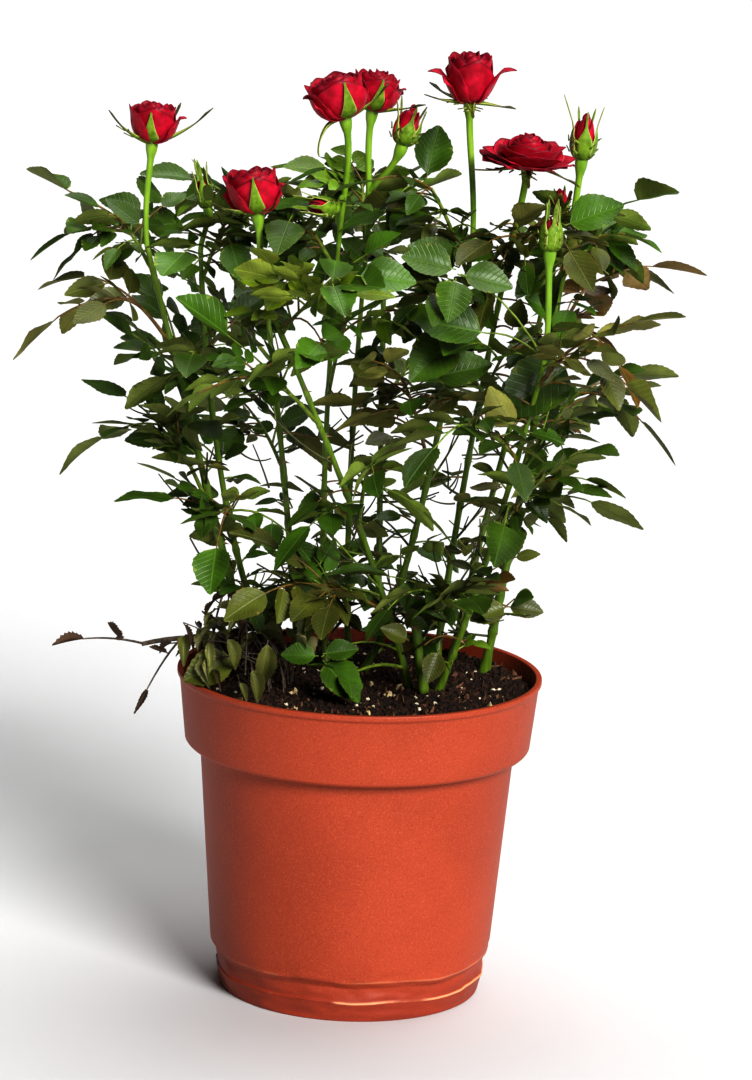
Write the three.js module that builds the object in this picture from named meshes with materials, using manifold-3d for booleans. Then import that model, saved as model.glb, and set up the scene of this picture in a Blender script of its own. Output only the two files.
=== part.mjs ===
// A miniature rose bush in a round plastic pot. Green canes rise from the compost and lean outwards.
// Each carries sprays of compound leaves, and most end in a flower stalk with a bloom or a bud.
// Millimetres, +Z up. The origin is the centre of the pot's flat underside.
import * as THREE from "three";
import { mergeVertices } from "three/addons/utils/BufferGeometryUtils.js";
import Module from "manifold-3d";

const wasm = await Module();
wasm.setup();

// ---- driving dimensions ----
const clear = 0.3; // gap kept between two pieces that touch

const pot = {
  rim: 85, // outer radius at the top
  height: 151.5,
  wall: 1.6,
  lip: { proud: 1.2, height: 2.4, under: 3.5 }, // the rolled edge at the top
  band: { height: 34.7, foot: 80.6, edge: 1.5 }, // the deep collar, and its radius at its lower edge
  body: { top: 73.5, bottom: 65.8 }, // radii of the wall under the collar
  shoulder: 20, // height where the body meets the stepped foot
  foot: { radius: 61, ring: 4.5 },
  bead: { proud: 2.6, height: 9.5, top: 12 }, // the low bead round the foot
  underside: { recess: 2.4, pad: 15 }, // hollowed, round a flat pad in the middle
  hole: { radius: 4.2, ring: 44, count: 6, sides: 8 },
  facets: 32,
};
const soil = { top: 146.5, crumble: 2.5, level: 76 }; // level: radius up to which it lies flat

const cane = { sides: 6, steps: 7, taper: 0.62, flare: 0.45, flareLength: 0.07 };
const twig = { radius: 0.85, base: 1.3, end: 0.9, arch: 0.12 }; // a spray's stem; base and end are shares
const rachis = { length: 35, base: 0.9, end: 0.5, hold: 0.03 }; // the stalk of a compound leaf
const leafletLength = 28.5;

// What a leaf's own draws change: shares of its span, size and leaflets, then turns in degrees. A leaflet
// at the end is longer than the pairs, which grow towards it.
const vary = {
  span: [0.72, 1], size: [0.82, 1.12], leaflet: [0.88, 1.12],
  roll: [-40, 40], level: [-8, 8], splay: [52, 70], pitch: [-12, 8],
};
const leafletShare = { end: 1.08, pairs: [0.78, 0.95] };

// Where leaves leave a spray's stem, and how far they turn from it. A short stem has small leaves, and
// one that goes on from its cane's tip sets off along the cane for the share `onward` of its length.
const layout = {
  from: [0.3, 0.9], last: 0.98, ahead: [-10, 10], aside: [38, 68], short: 18, small: 0.65, onward: 0.4,
};

// Blades, as shares of their own length. A leaf's first leaflets stand at `first` along its rachis,
// and leaflets overlap like shingles, turned by `shingle` degrees.
const leaf = { width: 0.68, thick: 0.045, widest: 0.44, fold: 0.09, droop: 0.1 };
const petal = { width: 1, thick: 0.06, widest: 0.6, fold: 0.12, droop: -0.08 };
const sepal = { width: 0.24, thick: 0.08, widest: 0.3, fold: 0.04, droop: 0.12 };
const thinnest = 0.5;
const first = 0.38;
const shingle = 20;

// How a spray's leaves grow: ranges of rise in degrees and of bend, then shares of the full size.
const habits = {
  leaves: { rise: [5, 50], bend: [0.15, 0.6], span: 1, size: 1, pairs: 2, shape: leaf },
  young: { rise: [20, 60], bend: [0.1, 0.4], span: 0.9, size: 0.85, pairs: 2, shape: leaf },
  low: { rise: [-5, 5], bend: [0.1, 0.2], span: 0.8, size: 1, pairs: 1, shape: leaf },
  wilted: {
    rise: [-50, -20], bend: [0.3, 0.8], span: 0.9, size: 0.85, pairs: 2, shape: { ...leaf, width: 0.45 },
  },
  withered: {
    rise: [-25, 20], bend: [-0.2, 0.4], span: 0.8, size: 0.6, pairs: 1, shape: { ...leaf, width: 0.3 },
  },
};

// Colour and roughness of each finish.
const palette = {
  terracotta: [0xc24a2a, 0.45],
  compost: [0x2a1c14, 0.95],
  cane: [0x5d8a2c, 0.5],
  leaves: [0x2c5a22, 0.55],
  low: [0x2c5a22, 0.55],
  young: [0x5f8f2e, 0.5],
  wilted: [0x6f7a4c, 0.85],
  withered: [0x6b4a34, 0.9],
  bloom: [0xb3101f, 0.6],
};

// Every cane: where it stands on the compost, a point it bends through, its tip and its thickness.
// A spray is [share of the cane it grows from, the x, y, z its stem grows to, leaves, habit].
const canes = [
  {
    name: "left_outer", foot: [-50, 14], knee: [-76, 9, 240], tip: [-105, 12, 345], girth: 4.6,
    sprays: [
      [0.07, -102, 0, 160, 3, "withered"], [0.2, -64, -14, 190, 3, "wilted"], [0.42, -94, 0, 264, 3],
      [0.64, -92, 40, 296, 3], [0.8, -112, 4, 322, 3], [0.95, -118, 26, 354, 3],
    ],
  },
  {
    name: "left_inner", foot: [-40, 24], knee: [-66, 17, 228], tip: [-80, 2, 345], girth: 4,
    sprays: [[0.42, -62, -14, 230, 3], [0.72, -78, -34, 300, 3], [0.95, -68, -10, 362, 3]],
  },
  {
    name: "front_diagonal", foot: [23, -7], knee: [-3, -22, 225], tip: [-47, -46, 330], girth: 4,
    sprays: [
      [0.07, 0, -34, 160, 1, "low"], [0.25, -22, -36, 200, 3], [0.5, 0, -56, 258, 3],
      [0.75, -50, -70, 302, 3], [0.94, -28, -68, 334, 3, "young"],
    ],
  },
  {
    name: "front_right", foot: [37, -12], knee: [57, -32, 218], tip: [77, -60, 312], girth: 4,
    sprays: [
      [0.3, 32, -46, 200, 3], [0.55, 72, -46, 248, 3], [0.76, 46, -74, 284, 3], [0.94, 88, -66, 318, 3],
    ],
  },
  {
    name: "right", foot: [59, 29], knee: [71, 21, 228], tip: [87, 10, 345], girth: 5,
    sprays: [[0.6, 96, 6, 286, 3], [0.82, 98, 18, 334, 3], [0.97, 98, 0, 362, 3]],
  },
  {
    name: "middle", foot: [2, 20], knee: [24, 18, 218], tip: [44, 6, 352], girth: 4.2,
    sprays: [[0.62, 14, -30, 296, 4], [0.84, 36, -36, 340, 4], [0.96, 24, -10, 380, 3]],
  },
  {
    name: "centre_left", foot: [-16, 25], knee: [-20, 26, 235], tip: [-17, 0, 352], girth: 3.8,
    sprays: [[0.7, -10, -38, 328, 3], [0.95, -42, -14, 372, 3]],
  },
  {
    name: "centre", foot: [-6, 42], knee: [-8, 42, 240], tip: [-4, 20, 355], girth: 3.8,
    sprays: [[0.95, -8, 42, 376, 3]],
  },
  {
    name: "back_right", foot: [36, 38], knee: [45, 44, 228], tip: [60, 0, 345], girth: 4.2,
    sprays: [[0.68, 62, -24, 310, 4], [0.95, 70, -20, 366, 4]],
  },
  {
    name: "back_left", foot: [-30, 42], knee: [-40, 52, 235], tip: [-55, 66, 340], girth: 4,
    sprays: [[0.5, -56, 78, 256, 3], [0.75, -74, 76, 306, 3], [1, -66, 80, 362, 3]],
  },
  {
    name: "far_back", foot: [8, 56], knee: [6, 78, 232], tip: [4, 100, 325], girth: 4,
    sprays: [[0.66, 22, 108, 282, 3], [1, -6, 106, 350, 3]],
  },
  {
    name: "far_right", foot: [44, 54], knee: [62, 72, 232], tip: [84, 88, 325], girth: 4,
    sprays: [[0.6, 90, 84, 262, 3], [1, 88, 92, 352, 3]],
  },
];
const stub = { foot: [30, -17], top: [25, -16, 177], girth: 4.8, taper: [1.1, 0.85] }; // a cane pruned short

// A flower shoot goes on from the tip of its cane. A head has the place of its calyx, the way it
// faces (turn, rise), its width and height, how far its outer petals spread across (0 for none), and
// how far it has opened, from 0 to 1.
const shoots = [
  {
    cane: "left_outer",
    heads: [{ base: [-104, 10, 393], faces: [0, 88], width: 24, height: 20, spread: 33, open: 0.5 }],
  },
  {
    cane: "left_inner",
    heads: [{ base: [-77, -4, 366], faces: [160, 74], width: 7, height: 14, spread: 0, open: 0 }],
  },
  {
    cane: "front_diagonal",
    heads: [{ base: [-53, -50, 371], faces: [190, 80], width: 26, height: 22, spread: 31, open: 0.4 }],
  },
  {
    cane: "front_right",
    heads: [{ base: [77, -64, 361], faces: [0, 88], width: 10, height: 16, spread: 0, open: 0 }],
  },
  {
    cane: "right",
    heads: [
      { base: [92, 5, 393], faces: [0, 86], width: 14, height: 22, spread: 0, open: 0.1 },
      { base: [84, -6, 372], faces: [250, 60], width: 8, height: 12, spread: 0, open: 0 },
    ],
  },
  {
    cane: "middle",
    heads: [{ base: [40, 0, 418], faces: [270, 84], width: 23, height: 25, spread: 43, open: 0.75 }],
  },
  {
    cane: "centre_left",
    heads: [
      { base: [-16, -18, 411], faces: [195, 74], width: 29, height: 22, spread: 34, open: 0.45 },
      { base: [-20, -30, 372], faces: [230, 10], width: 9, height: 16, spread: 0, open: 0 },
    ],
  },
  {
    cane: "centre",
    heads: [
      { base: [-4, 15, 411], faces: [0, 80], width: 23, height: 20, spread: 27, open: 0.4 },
      { base: [10, 8, 396], faces: [20, 74], width: 14, height: 20, spread: 0, open: 0.15 },
    ],
  },
  {
    cane: "back_right",
    heads: [{ base: [67, -14, 392], faces: [300, 84], width: 29, height: 17, spread: 45, open: 0.95 }],
  },
];
// Radii of a flower stalk, the last of them from `hipFrom` on. They are no more than 1/slimNeck and
// 1/slimHip of the head's width. It leaves and arrives straight for these shares of its length.
const stalk = {
  base: 1.3, neck: 1.7, hip: 2.8, hipFrom: 0.9, slimNeck: 6, slimHip: 4,
  fork: 0.3, leave: 0.4, arrive: 0.3, sides: 4, steps: 4,
};
// Rings of blades. Their angles from the axis are for a closed and an open head, and sepals open sooner.
const petalRing = { count: 5, offset: 0, angle: [26, 76], lift: 0.15 };
const sepalRing = { count: 4, offset: 0.5, angle: [16, 105], lift: 0.6, length: 17, sooner: 1.6 };
// The folded heart of a bloom: rings of [share of its width, share of its height], and its dimple.
const heart = { sides: 6, rings: [[0.26, 0.02], [0.5, 0.42], [0.38, 1]], dimple: 0.86 };

// ---- small helpers ----
const deg = THREE.MathUtils.degToRad;
const vec = (x, y, z) => new THREE.Vector3(x, y, z);
const up = vec(0, 0, 1);
const mix = (a, b, t) => a + (b - a) * t;
const heading = (turn, rise) =>
  vec(
    Math.cos(deg(turn)) * Math.cos(deg(rise)),
    Math.sin(deg(turn)) * Math.cos(deg(rise)),
    Math.sin(deg(rise)),
  );

// The same seed always draws the same numbers from 0 to 1.
const drawer = (seed) => {
  let state = seed >>> 0;
  const draw = () => {
    state = (Math.imul(state, 1664525) + 1013904223) >>> 0;
    return state / 4294967296;
  };
  for (let i = 0; i < 4; i++) draw();
  return draw;
};

const closedShape = (points, triangles) => {
  const geometry = new THREE.BufferGeometry().setFromPoints(points);
  geometry.setIndex(triangles.flat());
  return geometry;
};

const toSolid = (geometry) => {
  const bare = geometry.clone();
  bare.deleteAttribute("normal");
  bare.deleteAttribute("uv");
  const merged = mergeVertices(bare, 1e-4);
  return new wasm.Manifold(
    new wasm.Mesh({
      numProp: 3,
      vertProperties: new Float32Array(merged.attributes.position.array),
      triVerts: new Uint32Array(merged.index.array),
    }),
  );
};

const toGeometry = (solid) => {
  const mesh = solid.getMesh();
  const geometry = new THREE.BufferGeometry();
  geometry.setAttribute("position", new THREE.BufferAttribute(mesh.vertProperties, 3));
  geometry.setIndex(new THREE.BufferAttribute(mesh.triVerts, 1));
  geometry.computeVertexNormals();
  return geometry;
};

// Joins pieces into one body and drops any scrap that ended up loose.
const fuse = (solids) => {
  const bodies = wasm.Manifold.union(solids).simplify(0.02).decompose();
  return bodies.sort((a, b) => b.volume() - a.volume())[0];
};

const bush = new THREE.Group();
const taken = []; // what is already in place: new leaves keep clear of it

const place = (name, look, solid) => {
  const [color, roughness] = palette[look];
  const material = new THREE.MeshStandardMaterial({ color, roughness, metalness: 0 });
  const mesh = new THREE.Mesh(toGeometry(solid), material);
  mesh.name = name;
  bush.add(mesh);
  taken.push({ solid, box: solid.boundingBox() });
};

const boxesMeet = (a, b) => [0, 1, 2].every((i) => a.min[i] <= b.max[i] && b.min[i] <= a.max[i]);

const isBlocked = (geometry) => {
  const solid = toSolid(geometry);
  const box = solid.boundingBox();
  return taken.some((other) => boxesMeet(box, other.box) && !solid.intersect(other.solid).isEmpty());
};

// ---- pot and compost ----
const turned = (profile) =>
  new THREE.LatheGeometry(
    profile.map(([r, z]) => new THREE.Vector2(r, z)),
    pot.facets,
  ).rotateX(Math.PI / 2);

const bandFoot = pot.height - pot.band.height;
const bandTop = pot.rim - pot.lip.proud;
const bodyRadius = (z) =>
  mix(pot.body.bottom, pot.body.top, (z - pot.shoulder) / (bandFoot - pot.shoulder));
const bandRadius = (z) => mix(pot.band.foot, bandTop, (z - bandFoot) / pot.band.height);

const makePot = () => {
  const { rim, height, wall, lip, band, foot, bead, underside, shoulder, hole } = pot;
  const floor = underside.recess + wall;
  const shell = turned([
    [0, 0],
    [underside.pad, 0],
    [underside.pad + wall, underside.recess],
    [foot.radius - foot.ring, underside.recess],
    [foot.radius - foot.ring + wall, 0],
    [foot.radius, 0],
    [foot.radius + bead.proud, bead.height],
    [foot.radius + bead.proud * 0.75, bead.top],
    [bodyRadius(shoulder), shoulder],
    [bodyRadius(bandFoot), bandFoot],
    [band.foot - band.edge, bandFoot],
    [band.foot, bandFoot + band.edge],
    [bandTop, height - lip.under],
    [rim, height - lip.height],
    [rim, height],
    [bandTop - wall, height],
    [band.foot - wall, bandFoot + wall],
    [bodyRadius(bandFoot) - wall, bandFoot + wall],
    [bodyRadius(shoulder) - wall, shoulder],
    [foot.radius - wall, floor],
    [0, floor],
  ]);
  const holes = [];
  for (let i = 0; i < hole.count; i++) {
    const drill = new THREE.CylinderGeometry(hole.radius, hole.radius, 3 * floor, hole.sides);
    const angle = ((i + 0.5) / hole.count) * 2 * Math.PI;
    drill.rotateX(Math.PI / 2);
    drill.translate(hole.ring * Math.cos(angle), hole.ring * Math.sin(angle), 0);
    holes.push(toSolid(drill));
  }
  place("pot", "terracotta", toSolid(shell).subtract(wasm.Manifold.union(holes)));
};

const makeCompost = () => {
  const inset = pot.wall + clear;
  const bottom = pot.underside.recess + inset;
  const edge = soil.top - soil.crumble;
  const ball = turned([
    [0, bottom],
    [pot.foot.radius - inset, bottom],
    [bodyRadius(pot.shoulder) - inset, pot.shoulder],
    [bodyRadius(bandFoot) - inset, bandFoot + inset],
    [pot.band.foot - inset, bandFoot + inset],
    [bandRadius(edge) - inset - clear, edge],
    [soil.level, soil.top],
    [0, soil.top],
  ]);
  place("compost", "compost", toSolid(ball));
};

// ---- canes ----
// A tapering limb with flat ends: rings of `sides` points along a curve. A level foot is cut flat
// on the compost.
const limb = (curve, radiusAt, sides, steps, levelFoot = false) => {
  const frames = curve.computeFrenetFrames(steps, false);
  const points = [];
  const triangles = [];
  for (let i = 0; i <= steps; i++) {
    const centre = curve.getPointAt(i / steps);
    const across = frames.normals[i].clone();
    const other = frames.binormals[i].clone();
    if (i === 0 && levelFoot) {
      across.setZ(0).normalize();
      other.crossVectors(up, across);
    }
    const radius = radiusAt(i / steps);
    for (let k = 0; k < sides; k++) {
      const angle = (k / sides) * 2 * Math.PI;
      const point = centre.clone().addScaledVector(across, radius * Math.cos(angle));
      points.push(point.addScaledVector(other, radius * Math.sin(angle)));
    }
  }
  for (let i = 0; i < steps; i++)
    for (let k = 0; k < sides; k++) {
      const a = i * sides + k;
      const b = i * sides + ((k + 1) % sides);
      triangles.push([a, b, b + sides], [a, b + sides, a + sides]);
    }
  const last = steps * sides;
  for (let k = 1; k < sides - 1; k++) {
    triangles.push([0, k + 1, k], [last, last + k, last + k + 1]);
  }
  return closedShape(points, triangles);
};

// The curve from the compost to the tip that passes through the knee half way along.
const caneCurve = (c) => {
  const foot = vec(...c.foot, soil.top + clear);
  const tip = vec(...c.tip);
  const handle = vec(...c.knee).multiplyScalar(2).sub(foot.clone().lerp(tip, 0.5));
  return new THREE.QuadraticBezierCurve3(foot, handle, tip);
};

const caneRadius = (c) => (t) =>
  (c.girth / 2) * (mix(1, cane.taper, t) + cane.flare * Math.max(0, 1 - t / cane.flareLength));

const makeCane = (c) => {
  place(`cane_${c.name}`, "cane", toSolid(limb(caneCurve(c), caneRadius(c), cane.sides, cane.steps, true)));
};

const makeStub = () => {
  const curve = new THREE.LineCurve3(vec(...stub.foot, soil.top + clear), vec(...stub.top));
  const radius = (t) => (stub.girth / 2) * mix(...stub.taper, t);
  place("cane_stub", "cane", toSolid(limb(curve, radius, cane.sides, 2, true)));
};

// Where a side shoot of radius r leaves a cane along d: clear of the cane's skin.
const leavesAt = (c, at, d, r) => {
  const axis = caneCurve(c).getTangent(at);
  const across = d.clone().addScaledVector(axis, -d.dot(axis)).normalize();
  const lean = d.dot(across);
  const out = (caneRadius(c)(at) + clear + r * Math.sqrt(1 - lean * lean)) / lean;
  return caneCurve(c).getPoint(at).addScaledVector(d, out);
};

// ---- leaves ----
// A blade is pointed, and folded up a little along its midrib: a ring of four points where it is
// widest (top, back, bottom, front) and a tip.
const bladePoints = ({ root, along, face, length, shape }, swell = 0) => {
  const side = along.clone().cross(face).normalize();
  const half = (length * shape.width) / 2 + swell;
  const thick = Math.max(length * shape.thick, thinnest) / 2 + swell;
  const at = (a, s, f) =>
    root.clone().addScaledVector(along, a).addScaledVector(side, s).addScaledVector(face, f);
  const wide = shape.widest * length;
  return [
    at(wide, 0, thick),
    at(wide, half, shape.fold * length),
    at(wide, 0, -thick),
    at(wide, -half, shape.fold * length),
    at(length + swell, 0, -shape.droop * length),
  ];
};

// A blade by itself, from the share `from` of its length on.
const bladeShape = (blade, swell = 0, from = 0) => {
  const near = blade.root.clone().addScaledVector(blade.along, from * blade.length);
  return closedShape([near, ...bladePoints(blade, swell)], [
    [0, 2, 1], [0, 3, 2], [0, 4, 3], [0, 1, 4],
    [1, 2, 5], [2, 3, 5], [3, 4, 5], [4, 1, 5],
  ]);
};

// A compound leaf, laid out: its arching rachis, and its leaflets in pairs with one at the tip.
const layOutLeaf = (from, turn, habit, scale, draw) => {
  const rise = mix(...habit.rise, draw());
  const span = rachis.length * habit.span * scale * mix(...vary.span, draw());
  const size = leafletLength * habit.size * mix(...vary.size, draw());
  const bend = mix(...habit.bend, draw());
  const roll = mix(...vary.roll, draw());
  const pairs = scale < 1 ? 1 : habit.pairs;
  const out = heading(turn, 0);
  const slope = Math.tan(deg(rise));
  const spine = (t) =>
    from.clone().addScaledVector(out, span * t).addScaledVector(up, span * (slope * t - bend * t * t));
  const tangentAt = (t) => out.clone().addScaledVector(up, slope - 2 * bend * t).normalize();
  const leaflets = [];
  for (let p = 0; p <= pairs; p++) {
    const t = mix(first, 1, p / pairs);
    const tangent = tangentAt(t);
    const level = up.clone().addScaledVector(tangent, -up.dot(tangent)).normalize();
    level.applyAxisAngle(tangent, deg(roll + mix(...vary.level, draw())));
    for (const s of p === pairs ? [0] : [-1, 1]) {
      const along = tangent.clone().applyAxisAngle(level, deg(s * mix(...vary.splay, draw())));
      const across = along.clone().cross(level).normalize();
      along.applyAxisAngle(across, deg(mix(...vary.pitch, draw())));
      const face = across.clone().cross(along).normalize().applyAxisAngle(along, deg(-s * shingle));
      const share = s === 0 ? leafletShare.end : mix(...leafletShare.pairs, p / pairs);
      const length = size * share * mix(...vary.leaflet, draw());
      leaflets.push({ root: spine(t), along, face, length, shape: habit.shape, t, s });
    }
  }
  return { spine, tangentAt, leaflets };
};

// The leaf as one closed body: a three-sided rachis whose left or right wall opens into each
// leaflet, and whose end opens into the last one.
const leafShape = ({ spine, tangentAt, leaflets }) => {
  const points = [];
  const triangles = [];
  const ring = (t) => {
    const tangent = tangentAt(t);
    const side = tangent.clone().cross(up).normalize();
    const top = side.clone().cross(tangent);
    const radius = twig.radius * mix(rachis.base, rachis.end, t);
    for (const angle of [0, 120, -120]) {
      const corner = spine(t).addScaledVector(top, radius * Math.cos(deg(angle)));
      points.push(corner.addScaledVector(side, radius * Math.sin(deg(angle))));
    }
    return points.length - 3;
  };
  // the wall between two rings that lies between their corners i and j
  const wall = (a, b, i, j) => triangles.push([a + i, a + j, b + j], [a + i, b + j, b + i]);
  const tube = (a, b) => {
    wall(a, b, 0, 1);
    wall(a, b, 1, 2);
    wall(a, b, 2, 0);
  };
  // joins an opening of three or four points to a blade's ring, and closes its tip
  const bladeOn = (opening, leaflet) => {
    const corners = opening.length < 4 ? [...opening, opening[0]] : opening;
    const m = points.length;
    points.push(...bladePoints(leaflet));
    for (let k = 0; k < 4; k++) {
      const n = (k + 1) % 4;
      if (corners[k] !== corners[n]) triangles.push([corners[k], corners[n], m + n]);
      triangles.push([corners[k], m + n, m + k], [m + k, m + n, m + 4]);
    }
  };
  let before = ring(0);
  triangles.push([before, before + 2, before + 1]);
  const sides = leaflets.filter((l) => l.s !== 0);
  for (const t of new Set(sides.map((l) => l.t))) {
    const start = ring(t - rachis.hold);
    tube(before, start);
    const end = ring(t + rachis.hold);
    wall(start, end, 1, 2);
    const right = sides.find((l) => l.t === t && l.s < 0);
    const left = sides.find((l) => l.t === t && l.s > 0);
    if (right) bladeOn([start, start + 1, end + 1, end], right);
    else wall(start, end, 0, 1);
    if (left) bladeOn([end, end + 2, start + 2, start], left);
    else wall(start, end, 2, 0);
    before = end;
  }
  const last = leaflets.find((l) => l.s === 0);
  if (last) {
    const end = ring(1);
    tube(before, end);
    bladeOn([end, end + 1, end + 2], last);
  } else triangles.push([before, before + 1, before + 2]);
  return closedShape(points, triangles);
};

// A spray: one stem out of a cane, with compound leaves to its left and right and one at its end.
const makeSpray = (c, index, [at, x, y, z, count, habit = "leaves"]) => {
  const draw = drawer(977 * (canes.indexOf(c) + 1) + 131 * (index + 1));
  const curve = caneCurve(c);
  const onward = curve.getTangent(1);
  const end = vec(x, y, z);
  const dir = end.clone().sub(curve.getPoint(at)).normalize();
  const fromTip = at === 1;
  const start = fromTip
    ? vec(...c.tip).addScaledVector(onward, clear)
    : leavesAt(c, at, dir, twig.radius * twig.base);
  const reach = start.distanceTo(end);
  const handle = start.clone().lerp(end, 0.5).addScaledVector(up, reach * twig.arch);
  if (fromTip) handle.copy(start).addScaledVector(onward, reach * layout.onward);
  const stem = new THREE.QuadraticBezierCurve3(start, handle, end);
  const solids = [toSolid(limb(stem, (t) => twig.radius * mix(twig.base, twig.end, t), 3, 2))];
  const own = [];
  const isFree = (leaflet) => {
    if (isBlocked(bladeShape(leaflet, clear))) return false;
    const solid = toSolid(bladeShape(leaflet, 0, 0.1));
    if (own.some((other) => !other.intersect(solid).isEmpty())) return false;
    own.push(solid);
    return true;
  };
  const turn = THREE.MathUtils.radToDeg(Math.atan2(dir.y, dir.x));
  for (let i = 0; i < count; i++) {
    const isLast = i === count - 1;
    const side = i % 2 ? 1 : -1;
    const leafTurn = turn + (isLast ? mix(...layout.ahead, draw()) : side * mix(...layout.aside, draw()));
    const from = stem.getPoint(isLast ? layout.last : mix(...layout.from, i / (count - 1)));
    const scale = reach < layout.short ? layout.small : 1;
    const laidOut = layOutLeaf(from, leafTurn, habits[habit], scale, draw);
    const stalkCurve = new THREE.QuadraticBezierCurve3(
      laidOut.spine(0),
      laidOut.spine(0.5).multiplyScalar(2).sub(laidOut.spine(0).lerp(laidOut.spine(1), 0.5)),
      laidOut.spine(1),
    );
    if (isBlocked(limb(stalkCurve, () => twig.radius + clear, 4, 3))) continue;
    laidOut.leaflets = laidOut.leaflets.filter(isFree);
    if (laidOut.leaflets.length > 0) solids.push(toSolid(leafShape(laidOut)));
  }
  place(`foliage_${c.name}_${index + 1}`, habit, fuse(solids));
};

// ---- flowers ----
// A direction square to an axis, from which angles round it are counted.
const squareTo = (axis) => (Math.abs(axis.z) > 0.5 ? vec(1, 0, 0) : up.clone()).cross(axis).normalize();

const makeHeart = (base, axis, width, height) => {
  const { sides, rings, dimple } = heart;
  const across = squareTo(axis);
  const other = axis.clone().cross(across);
  const points = [base.clone()];
  for (const [r, h] of rings)
    for (let k = 0; k < sides; k++) {
      const angle = (k / sides) * 2 * Math.PI;
      const point = base.clone().addScaledVector(axis, h * height);
      point.addScaledVector(across, r * width * Math.cos(angle));
      points.push(point.addScaledVector(other, r * width * Math.sin(angle)));
    }
  const top = points.length;
  const rim = top - sides;
  points.push(base.clone().addScaledVector(axis, dimple * height));
  const triangles = [];
  for (let k = 0; k < sides; k++) {
    const n = (k + 1) % sides;
    triangles.push([0, 1 + n, 1 + k], [top, rim + k, rim + n]);
    for (let a = 1; a < rim; a += sides) {
      triangles.push([a + k, a + n, a + sides + n], [a + k, a + sides + n, a + sides + k]);
    }
  }
  return toSolid(closedShape(points, triangles));
};

// A ring of blades rooted `lift` up the axis, each leaning `angle` degrees away from it.
const makeWhorl = (foot, axis, { count, offset }, angle, lift, length, shape) => {
  const root = foot.clone().addScaledVector(axis, lift);
  const blades = [];
  for (let k = 0; k < count; k++) {
    const out = squareTo(axis).applyAxisAngle(axis, ((k + offset) / count) * 2 * Math.PI);
    const hinge = axis.clone().cross(out).normalize();
    const along = axis.clone().applyAxisAngle(hinge, deg(angle));
    const face = along.clone().cross(hinge);
    blades.push(toSolid(bladeShape({ root, along, face, length, shape })));
  }
  return blades;
};

const makeHead = ({ base, faces, width, height, spread, open }) => {
  const foot = vec(...base);
  const axis = heading(...faces);
  const petalAngle = mix(...petalRing.angle, open);
  const sepalAngle = mix(...sepalRing.angle, Math.min(1, open * sepalRing.sooner));
  const solids = [makeHeart(foot, axis, width, height)];
  solids.push(...makeWhorl(foot, axis, sepalRing, sepalAngle, sepalRing.lift, sepalRing.length, sepal));
  if (spread > 0) {
    const petalLength = spread / 2 / Math.sin(deg(petalAngle));
    solids.push(...makeWhorl(foot, axis, petalRing, petalAngle, petalRing.lift * height, petalLength, petal));
  }
  return solids;
};

const makeShoot = ({ cane: name, heads }) => {
  const c = canes.find((other) => other.name === name);
  const tangent = caneCurve(c).getTangent(1);
  const start = vec(...c.tip).addScaledVector(tangent, clear);
  const solids = [];
  let main;
  heads.forEach((head, i) => {
    const base = vec(...head.base);
    const axis = heading(...head.faces);
    const from = i ? main.getPoint(stalk.fork) : start;
    const straight = base.clone().sub(from).normalize();
    const leave = i ? straight.clone().setZ(0).normalize().add(up) : straight.add(tangent);
    const length = from.distanceTo(base);
    const path = new THREE.CubicBezierCurve3(
      from,
      from.clone().addScaledVector(leave.normalize(), length * stalk.leave),
      base.clone().addScaledVector(axis, -length * stalk.arrive),
      base.clone().addScaledVector(axis, 1),
    );
    main ??= path;
    const neck = Math.min(stalk.neck, head.width / stalk.slimNeck);
    const hip = Math.min(stalk.hip, head.width / stalk.slimHip);
    const radius = (t) => (t > stalk.hipFrom ? hip : mix(stalk.base, neck, t));
    solids.push(toSolid(limb(path, radius, stalk.sides, stalk.steps)), ...makeHead(head));
  });
  place(`flower_${name}`, "bloom", fuse(solids));
};

makePot();
makeCompost();
canes.forEach(makeCane);
makeStub();
shoots.forEach(makeShoot);
canes.forEach((c) => c.sprays.forEach((spray, i) => makeSpray(c, i, spray)));

export default bush;
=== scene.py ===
# A potted miniature rose bush with red blooms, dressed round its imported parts.
# Growth is worked out in millimetres and becomes metres where a mesh is made.
import math

import bmesh
import bpy
import numpy as np
from mathutils import Matrix, Quaternion, Vector, noise
from mathutils.bvhtree import BVHTree


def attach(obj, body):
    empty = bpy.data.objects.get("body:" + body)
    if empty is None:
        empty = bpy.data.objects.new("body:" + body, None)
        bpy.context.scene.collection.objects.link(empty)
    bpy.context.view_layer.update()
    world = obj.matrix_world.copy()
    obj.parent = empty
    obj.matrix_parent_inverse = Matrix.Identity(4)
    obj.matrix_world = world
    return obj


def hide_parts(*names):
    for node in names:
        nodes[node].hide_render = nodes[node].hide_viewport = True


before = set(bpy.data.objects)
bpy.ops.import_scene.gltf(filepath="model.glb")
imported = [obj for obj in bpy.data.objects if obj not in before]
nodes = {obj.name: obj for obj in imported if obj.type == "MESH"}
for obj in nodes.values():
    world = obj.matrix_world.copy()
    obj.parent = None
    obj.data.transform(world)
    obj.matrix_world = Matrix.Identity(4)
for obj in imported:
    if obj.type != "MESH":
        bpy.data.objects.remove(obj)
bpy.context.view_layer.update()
mm = 0.001
up = Vector((0, 0, 1))
goldenTurn = 137.5


# Small helpers
def mix(a, b, t):
    return a + (b - a) * t


def ease(low, high, x):
    # 0 at low, 1 at high, smooth between
    t = min(1, max(0, (x - low) / (high - low)))
    return t * t * (3 - 2 * t)


def heading(turn, rise):
    turn, rise = math.radians(turn), math.radians(rise)
    flat = math.cos(rise)
    return Vector((math.cos(turn) * flat, math.sin(turn) * flat, math.sin(rise)))


def turned(v, axis, degrees):
    return Quaternion(axis, math.radians(degrees)) @ v


def squareTo(axis):
    # a direction square to an axis, from which angles round it are counted
    first = Vector((1, 0, 0)) if abs(axis.z) > 0.5 else up
    return first.cross(axis).normalized()


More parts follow.
